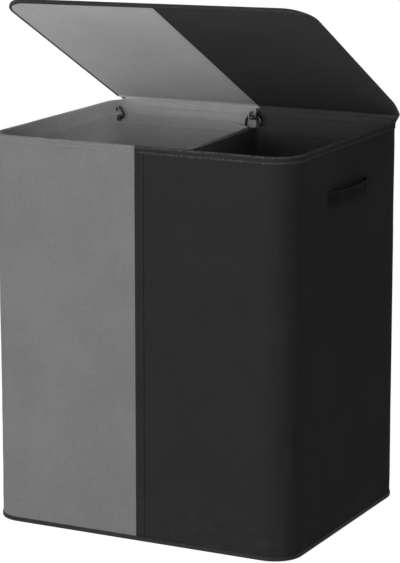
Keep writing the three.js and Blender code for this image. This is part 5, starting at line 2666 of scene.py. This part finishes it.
@dataclass
class Hinge(SubAssembly):
    """What the lid swings on: a bound flap in two colours down the back, and a welt inside."""

    lid: Lid = None
    middle_y: float = 221.8 * MM
    low: float = 600 * MM
    fold: float = 645.5 * MM
    half_width: float = 260.6 * MM
    lean: float = 25 * MM
    corner: float = 10 * MM
    flare: dict = field(default_factory=lambda: {Hand.LEFT: 9.5 * MM, Hand.RIGHT: 0.0})
    tape_top: dict = field(default_factory=lambda: {
        Hand.LEFT: 641.5 * MM, Hand.RIGHT: 650 * MM})
    thickness: float = 0.8 * MM
    seam_gap: float = 0.15 * MM
    welt_rounding: float = 1.2 * MM
    step: float = 10 * MM
    flare_fade: float = 14 * MM
    lid_part: float = 14 * MM
    row_step: float = 4 * MM
    corner_rows: int = 8
    fold_rows: tuple = (641 * MM, 643 * MM)
    # The heights between which the flap, and the points between which the welt, bends
    bend_heights: tuple = (641 * MM, 647.5 * MM)
    welt_bend: tuple = ((0, 221.3 * MM, 640.9 * MM), (0, 217.9 * MM, 642.6 * MM))
    # Wavelength and stretch of the cloth's unevenness, and how far the flap and the welt swing
    wavelength: float = 34 * MM
    stretch: float = 1.6
    flap_swing: float = 0.16 * MM
    welt_swing: float = 0.04 * MM
    seam_share: float = 0.04
    # The stitch rows through the back and through the lid: where they lie and where they end
    low_rows: tuple = (625.5 * MM, 631.5 * MM)
    low_margin: float = 8 * MM
    high_row: tuple = (-9.8 * MM, 1.15 * MM)
    high_margin: float = 13 * MM
    row_points: int = 90
    # The tape's thickness, its rows above the fold, and its stitches: depth, lift and top
    tape_thickness: float = 0.5 * MM
    tape_heights: tuple = (647.2 * MM, 646.4 * MM)
    tape_step: float = 9 * MM
    tape_row: tuple = (4.2 * MM, 0.85 * MM)
    tape_row_top: float = 640 * MM
    # Distance from the hinge and height of each point of the part sewn on the lid, in millimetres
    lid_profile: tuple = ((-1.2, 0.55), (-2.6, 1.0), (-4.5, 1.1), (-7, 1.1), (-9.5, 1.1),
                          (-12, 1.05))
    # The welt's section in millimetres: distance from the hinge and height on the lid's lining,
    # then Y and Z above the rim in the hamper's frame
    welt_on_lid: tuple = ((-9.0, -5.7), (-6.5, -6.3), (-4.2, -6.8), (-2.4, -6.6))
    welt_on_rim: tuple = ((219.9, 642.2), (220.8, 641.6), (221.2, 640.7), (220.9, 639.6),
                          (220.6, 638.0), (220.6, 632.0))
    # Distance in from the flap's edge and out from its middle of each point of the tape round
    # it, in millimetres
    tape_profile: tuple = (
        (6.0, -0.5), (6.1, -0.8), (5.2, -1.0), (4.2, -0.8), (3.0, -1.0), (1.0, -0.9),
        (0.2, -0.5), (-0.2, 0.0), (0.2, 0.5), (1.0, 0.9), (3.0, 1.0), (4.2, 0.8), (5.2, 1.0),
        (6.1, 0.8), (6.0, 0.5),
    )

    def half_span(self, hand: Hand, height: Numbers) -> np.ndarray:
        """The flap's reach at a height: it leans in downwards, with round low corners.

        Args:
            hand: Which half.
            height: Heights on the flap.

        Returns:
            Its distance from the middle at each height.
        """
        drop = np.clip(self.fold - np.asarray(height, float), 0, None)
        into = self.corner - np.clip(height - self.low, 0, self.corner)
        rounding = self.corner - np.sqrt(np.maximum(self.corner ** 2 - into ** 2, 0))
        lean = self.lean * drop / (self.fold - self.low)
        flare = self.flare[hand] * np.exp(-drop / self.flare_fade)
        return self.half_width - lean - rounding + flare

    def levels(self) -> np.ndarray:
        """Heights for the rows of the flap, close together where its low corner turns.

        Returns:
            Heights in rising order.
        """
        quarter = np.linspace(0, math.pi / 2, self.corner_rows)
        turn = self.low + self.corner * (1 - np.cos(quarter))
        rest = spaced(self.row_step, self.low + self.corner, *self.fold_rows, self.fold)
        return np.unique(np.concatenate([turn, rest]).round(DECIMALS))

    def bend(self, piece: bpy.types.Object, finish: Finish, slot: str, start: tuple,
             end: tuple, *nodes: str) -> None:
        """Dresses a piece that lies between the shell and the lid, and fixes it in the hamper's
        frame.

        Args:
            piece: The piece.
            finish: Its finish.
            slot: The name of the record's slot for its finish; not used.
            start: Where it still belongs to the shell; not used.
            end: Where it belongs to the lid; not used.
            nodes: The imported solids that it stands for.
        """
        piece.data.materials.append(finish.material())
        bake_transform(piece)
        if nodes:
            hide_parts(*nodes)
        log.info("%s between shell and lid", piece.name)

    def build(self) -> None:
        """Makes the flap and the welt of both colours, and the stitches across them."""
        fold = [(0, self.middle_y, height) for height in self.bend_heights]
        for hand in Hand:
            flap = self.build_flap(hand)
            self.bend(flap, self.palette.cloth[hand], f"cloth_{hand.colour}", *fold,
                      f"hinge_strip_{hand.colour}")
            tape, seams = self.build_tape(hand)
            self.bend(tape, self.palette.tape, "webbing", *fold)
            self.build_welt(hand)
        across, thread = np.linspace(-1, 1, self.row_points), self.palette.thread[Hand.RIGHT]
        rows = []
        for z in self.low_rows:
            reach = self.half_span(Hand.RIGHT, z) - self.low_margin
            line = np.stack(np.broadcast_arrays(
                across * reach, self.middle_y + self.thickness / 2, z), 1)
            rows.append((line, facing_all(line, 0, 1, 0)))
        self.stitch("hinge_low_stitches", rows, thread, "shell", "webbing")
        span = across * (self.half_width - self.high_margin)
        row = self.lid.row(np.stack(np.broadcast_arrays(span, *self.high_row), 1), 1)
        self.stitch("hinge_high_stitches", [row], thread, "lid", "webbing")

    def crossed(self, name: str, hand: Hand, line: np.ndarray, reach: np.ndarray,
                seed: int, swing: float) -> bpy.types.Object:
        """A cloth of one colour, from its line seen from the side, thickened inwards.

        Args:
            name: The piece's name.
            hand: Which colour.
            line: The Y and Z of each row.
            reach: How far from the middle each row ends.
            seed: The seed of its unevenness.
            swing: How far it stands off at most.

        Returns:
            The object.
        """
        inner = self.lid.seam_x + hand.value * self.seam_gap
        share = spaced(self.step, 0, SELVEDGE, self.half_width - SELVEDGE, self.half_width)
        share = share[None] / self.half_width
        across = inner + (hand.value * reach[:, None] - inner) * share
        points = np.zeros((*across.shape, 3))
        waves = Unevenness(seed, self.wavelength, swing, self.stretch)
        points[..., 0] = across
        points[..., 1] = line[:, :1] + (np.abs(waves.at(across, line[:, 1:]))
                                        * smooth(share, 0, self.seam_share))
        points[..., 2] = line[:, 1:]
        cloth = paired(across, lengths_along(line)[:, None])
        piece = woven(name, points, cloth, flip=hand is Hand.RIGHT)
        return thicken(piece, self.thickness)

    def build_flap(self, hand: Hand) -> bpy.types.Object:
        """The flap from its low edge up the back, over the fold and on to the lid.

        Args:
            hand: Which half.

        Returns:
            The flap.
        """
        levels = self.levels()
        low = np.stack([np.full_like(levels, self.middle_y + self.thickness / 2), levels], 1)
        level = np.array([(0, y * MM, z * MM) for y, z in self.lid_profile])
        line = np.concatenate([low, self.lid.place(level)[:, 1:]])
        return self.crossed(f"{hand.colour}_hinge_flap", hand, line,
                            self.half_span(hand, line[:, 1]), Seed.FLAP + hand.value,
                            self.flap_swing)

    def build_welt(self, hand: Hand) -> None:
        """The rolled cloth inside, from the lid's lining down behind the rim.

        Args:
            hand: Which half.
        """
        level = np.array([(0, y * MM, z * MM) for y, z in self.welt_on_lid])
        knots = np.concatenate([self.lid.place(level)[:, 1:], np.array(self.welt_on_rim) * MM])
        line = apart(eased(knots, self.welt_rounding, 3))
        welt = self.crossed(f"{hand.colour}_hinge_welt", hand, line,
                            self.half_span(hand, line[:, 1]), Seed.WELT + hand.value,
                            self.welt_swing)
        # Its finish is a much lighter copy of the lining cloth: a painted highlight along the fold
        self.bend(welt, self.palette.welt[hand], f"lining_{hand.colour}", *self.welt_bend)

    def build_tape(self, hand: Hand) -> tuple[bpy.types.Object, bpy.types.Object]:
        """The tape folded round the flap's edges, and its stitches.

        Args:
            hand: Which half.

        Returns:
            The tape and the stitches.
        """
        levels = np.concatenate([self.tape_heights, self.levels()[::-1]])
        levels = levels[levels < self.tape_top[hand]]
        side = np.stack([self.half_span(hand, levels), levels], 1)
        last = hand.value * self.lid.seam_x + self.seam_gap
        foot = spaced(self.tape_step, last, side[-1, 0])[-2::-1]
        points = np.concatenate([side, np.stack([foot, np.full_like(foot, self.low)], 1)])
        ahead = unit(np.gradient(points, axis=0))
        outward = np.stack([-ahead[:, 1], ahead[:, 0]], 1) * (hand.value, 1)
        points = points * (hand.value, 1)
        run = Run(points, outward, lengths_along(points))
        inset, out = np.array(self.tape_profile).T * MM

        def stand(flat: np.ndarray) -> np.ndarray:
            """Stands the flap's plan up behind the shell."""
            return np.stack([flat[..., 0], self.middle_y + flat[..., 2], flat[..., 1]], -1)

        tape = banded(f"{hand.colour}_flap_tape", run, inset, out, flip=hand is Hand.LEFT,
                      place=stand)
        thicken(tape, self.tape_thickness)
        line = stand(run.place(*([value] for value in self.tape_row))[0])
        line = line[points[:, 1] < self.tape_row_top]
        seams = self.stitch(f"{hand.colour}_flap_tape_stitches",
                            [(line, facing_all(line, 0, 1, 0))],
                            self.palette.thread[Hand.RIGHT], "shell", "webbing")
        return tape, seams


@dataclass(frozen=True)
class Lamp:
    """A soft box: where it hangs, what it looks at, its size, its power in watts and its spread."""

    name: str
    place: tuple[float, float, float]
    target: tuple[float, float, float]
    size: float
    power: float
    spread: float = 180


@dataclass
class Studio:
    """The floor, the soft light and the camera."""

    camera_place: tuple = (1.8743, -3.6833, 1.2943)
    yaw: float = 0.47027
    pitch: float = 0.19553
    lens: float = 164.262
    shift: float = -0.1
    ambient: float = 0.12
    floor_colour: float = 0.75
    floor_glow: float = 0.965
    floor_shown: float = 0.30
    floor_reach: float = 40.0
    floor_level: float = -0.9 * MM
    floor_grain: float = 3.0
    floor_grain_share: float = 0.97
    sensor: float = 36
    clip: tuple = (0.05, 200)
    lamps: tuple = (
        Lamp("front_box", (0.0, -4.5, 1.2), (0, 0, 0.4), 2.0, 19),
        Lamp("front_level_box", (0.0, -4.5, 0.74), (0, 0, 0.66), 0.8, 21),
        Lamp("front_left_box", (-2.6, -3.4, 1.9), (0, 0, 0.4), 1.8, 15),
        Lamp("left_box", (-3.2, -1.0, 1.0), (0, 0, 0.6), 1.6, 11),
        Lamp("left_level_box", (-2.4, -3.6, 0.72), (0, 0, 0.66), 0.8, 19),
        Lamp("low_front_box", (0.2, -3.2, 0.5), (0, 0, 0.8), 1.4, 32),
        Lamp("right_level_box", (2.4, -3.4, 0.80), (0, 0, 0.64), 0.8, 14),
        Lamp("inside_spot", (1.34, -0.9, 1.2), (-0.262, 0.1, 0.6), 0.2, 0.05, 12),
    )

    def build(self) -> None:
        """Makes the studio."""
        self.build_floor()
        for lamp in self.lamps:
            self.build_lamp(lamp)
        self.build_world()
        self.build_camera()
        bpy.context.scene.view_settings.view_transform = "Standard"

    def build_floor(self) -> None:
        """A wide pale floor that shows white to the camera and keeps the shadow."""
        mesh = bpy.data.meshes.new("floor")
        corners = [(x * self.floor_reach, y * self.floor_reach, self.floor_level)
                   for x, y in ((-1, -1), (1, -1), (1, 1), (-1, 1))]
        mesh.from_pydata(corners, [], [(0, 1, 2, 3)])
        floor = linked("floor", mesh)
        material = bpy.data.materials.new("pale_floor")
        w, seen = self.seen_apart(material)
        grain = w.noise(Finish.own_place(w), self.floor_grain)
        lit, shown, glow = w.add("BsdfDiffuse"), w.add("BsdfDiffuse"), w.add("Emission")
        tone = self.floor_colour
        w.feed(lit.inputs["Color"], w.blend(
            grain, neutral(tone), neutral(tone * self.floor_grain_share)))
        shown.inputs["Color"].default_value = (*neutral(self.floor_shown), 1)
        glow.inputs["Strength"].default_value = self.floor_glow
        both, choice = w.add("AddShader"), w.add("MixShader")
        w.feed(both.inputs[0], shown.outputs[0])
        w.feed(both.inputs[1], glow.outputs[0])
        w.feed(choice.inputs[0], seen)
        w.feed(choice.inputs[1], lit.outputs[0])
        w.feed(choice.inputs[2], both.outputs[0])
        out = w.add("OutputMaterial")
        w.feed(out.inputs["Surface"], choice.outputs[0])
        mesh.materials.append(material)
        log.info("floor")

    @staticmethod
    def seen_apart(owner: bpy.types.ID) -> tuple[Wiring, bpy.types.NodeSocket]:
        """An empty node tree that tells what is seen, also mirrored, from what only gives light.

        Args:
            owner: The material or the world that the tree belongs to.

        Returns:
            The tree's wiring, and the socket that is 1 where its owner is seen.
        """
        owner.use_nodes = True
        owner.node_tree.nodes.clear()
        w = Wiring(owner.node_tree)
        path = w.add("LightPath").outputs
        seen = w.math("MAXIMUM", w.math("MAXIMUM", path["Is Camera Ray"], path["Is Glossy Ray"]),
                      path["Is Transmission Ray"])
        return w, seen

    @staticmethod
    def build_lamp(lamp: Lamp) -> None:
        """One soft box.

        Args:
            lamp: What it is like.
        """
        data = bpy.data.lights.new(lamp.name, "AREA")
        data.shape, data.size, data.energy = "SQUARE", lamp.size, lamp.power
        data.spread = math.radians(lamp.spread)
        light = bpy.data.objects.new(lamp.name, data)
        light.location = lamp.place
        towards = Vector(lamp.target) - Vector(lamp.place)
        light.rotation_euler = towards.to_track_quat("-Z", "Y").to_euler()
        bpy.context.scene.collection.objects.link(light)
        log.info("%s", lamp.name)

    def build_world(self) -> None:
        """A white surround to the camera, and a dim even light to the cloth."""
        world = bpy.data.worlds.new("surround")
        bpy.context.scene.world = world
        w, seen = self.seen_apart(world)
        dim, white = w.add("Background"), w.add("Background")
        dim.inputs["Strength"].default_value = self.ambient
        dim.inputs["Color"].default_value = (1, 1, 1, 1)
        white.inputs["Color"].default_value = (1, 1, 1, 1)
        choice, out = w.add("MixShader"), w.add("OutputWorld")
        w.feed(choice.inputs[0], seen)
        w.feed(choice.inputs[1], dim.outputs[0])
        w.feed(choice.inputs[2], white.outputs[0])
        w.feed(out.inputs["Surface"], choice.outputs[0])

    def build_camera(self) -> None:
        """The camera at the photograph's place."""
        data = bpy.data.cameras.new("camera")
        data.lens, data.sensor_width, data.shift_y = self.lens, self.sensor, self.shift
        data.clip_start, data.clip_end = self.clip
        camera = bpy.data.objects.new("camera", data)
        camera.location = self.camera_place
        camera.rotation_euler = (math.pi / 2 - self.pitch, 0, self.yaw)
        bpy.context.scene.collection.objects.link(camera)
        bpy.context.scene.camera = camera
        log.info("camera")


def main() -> None:
    """Builds the hamper's looks and the studio, in order."""
    logging.basicConfig(level=logging.INFO, format="%(name)s: %(message)s")
    palette = Palette()
    shell = Shell(palette)
    shell.build()
    Handles(palette, shell=shell).build()
    LinerBags(palette).build()
    Hangers(palette).build()
    lid = Lid(palette)
    lid.build()
    Hinge(palette, lid=lid).build()
    Studio().build()
    bpy.context.view_layer.update()


if __name__ == "__main__":
    main()
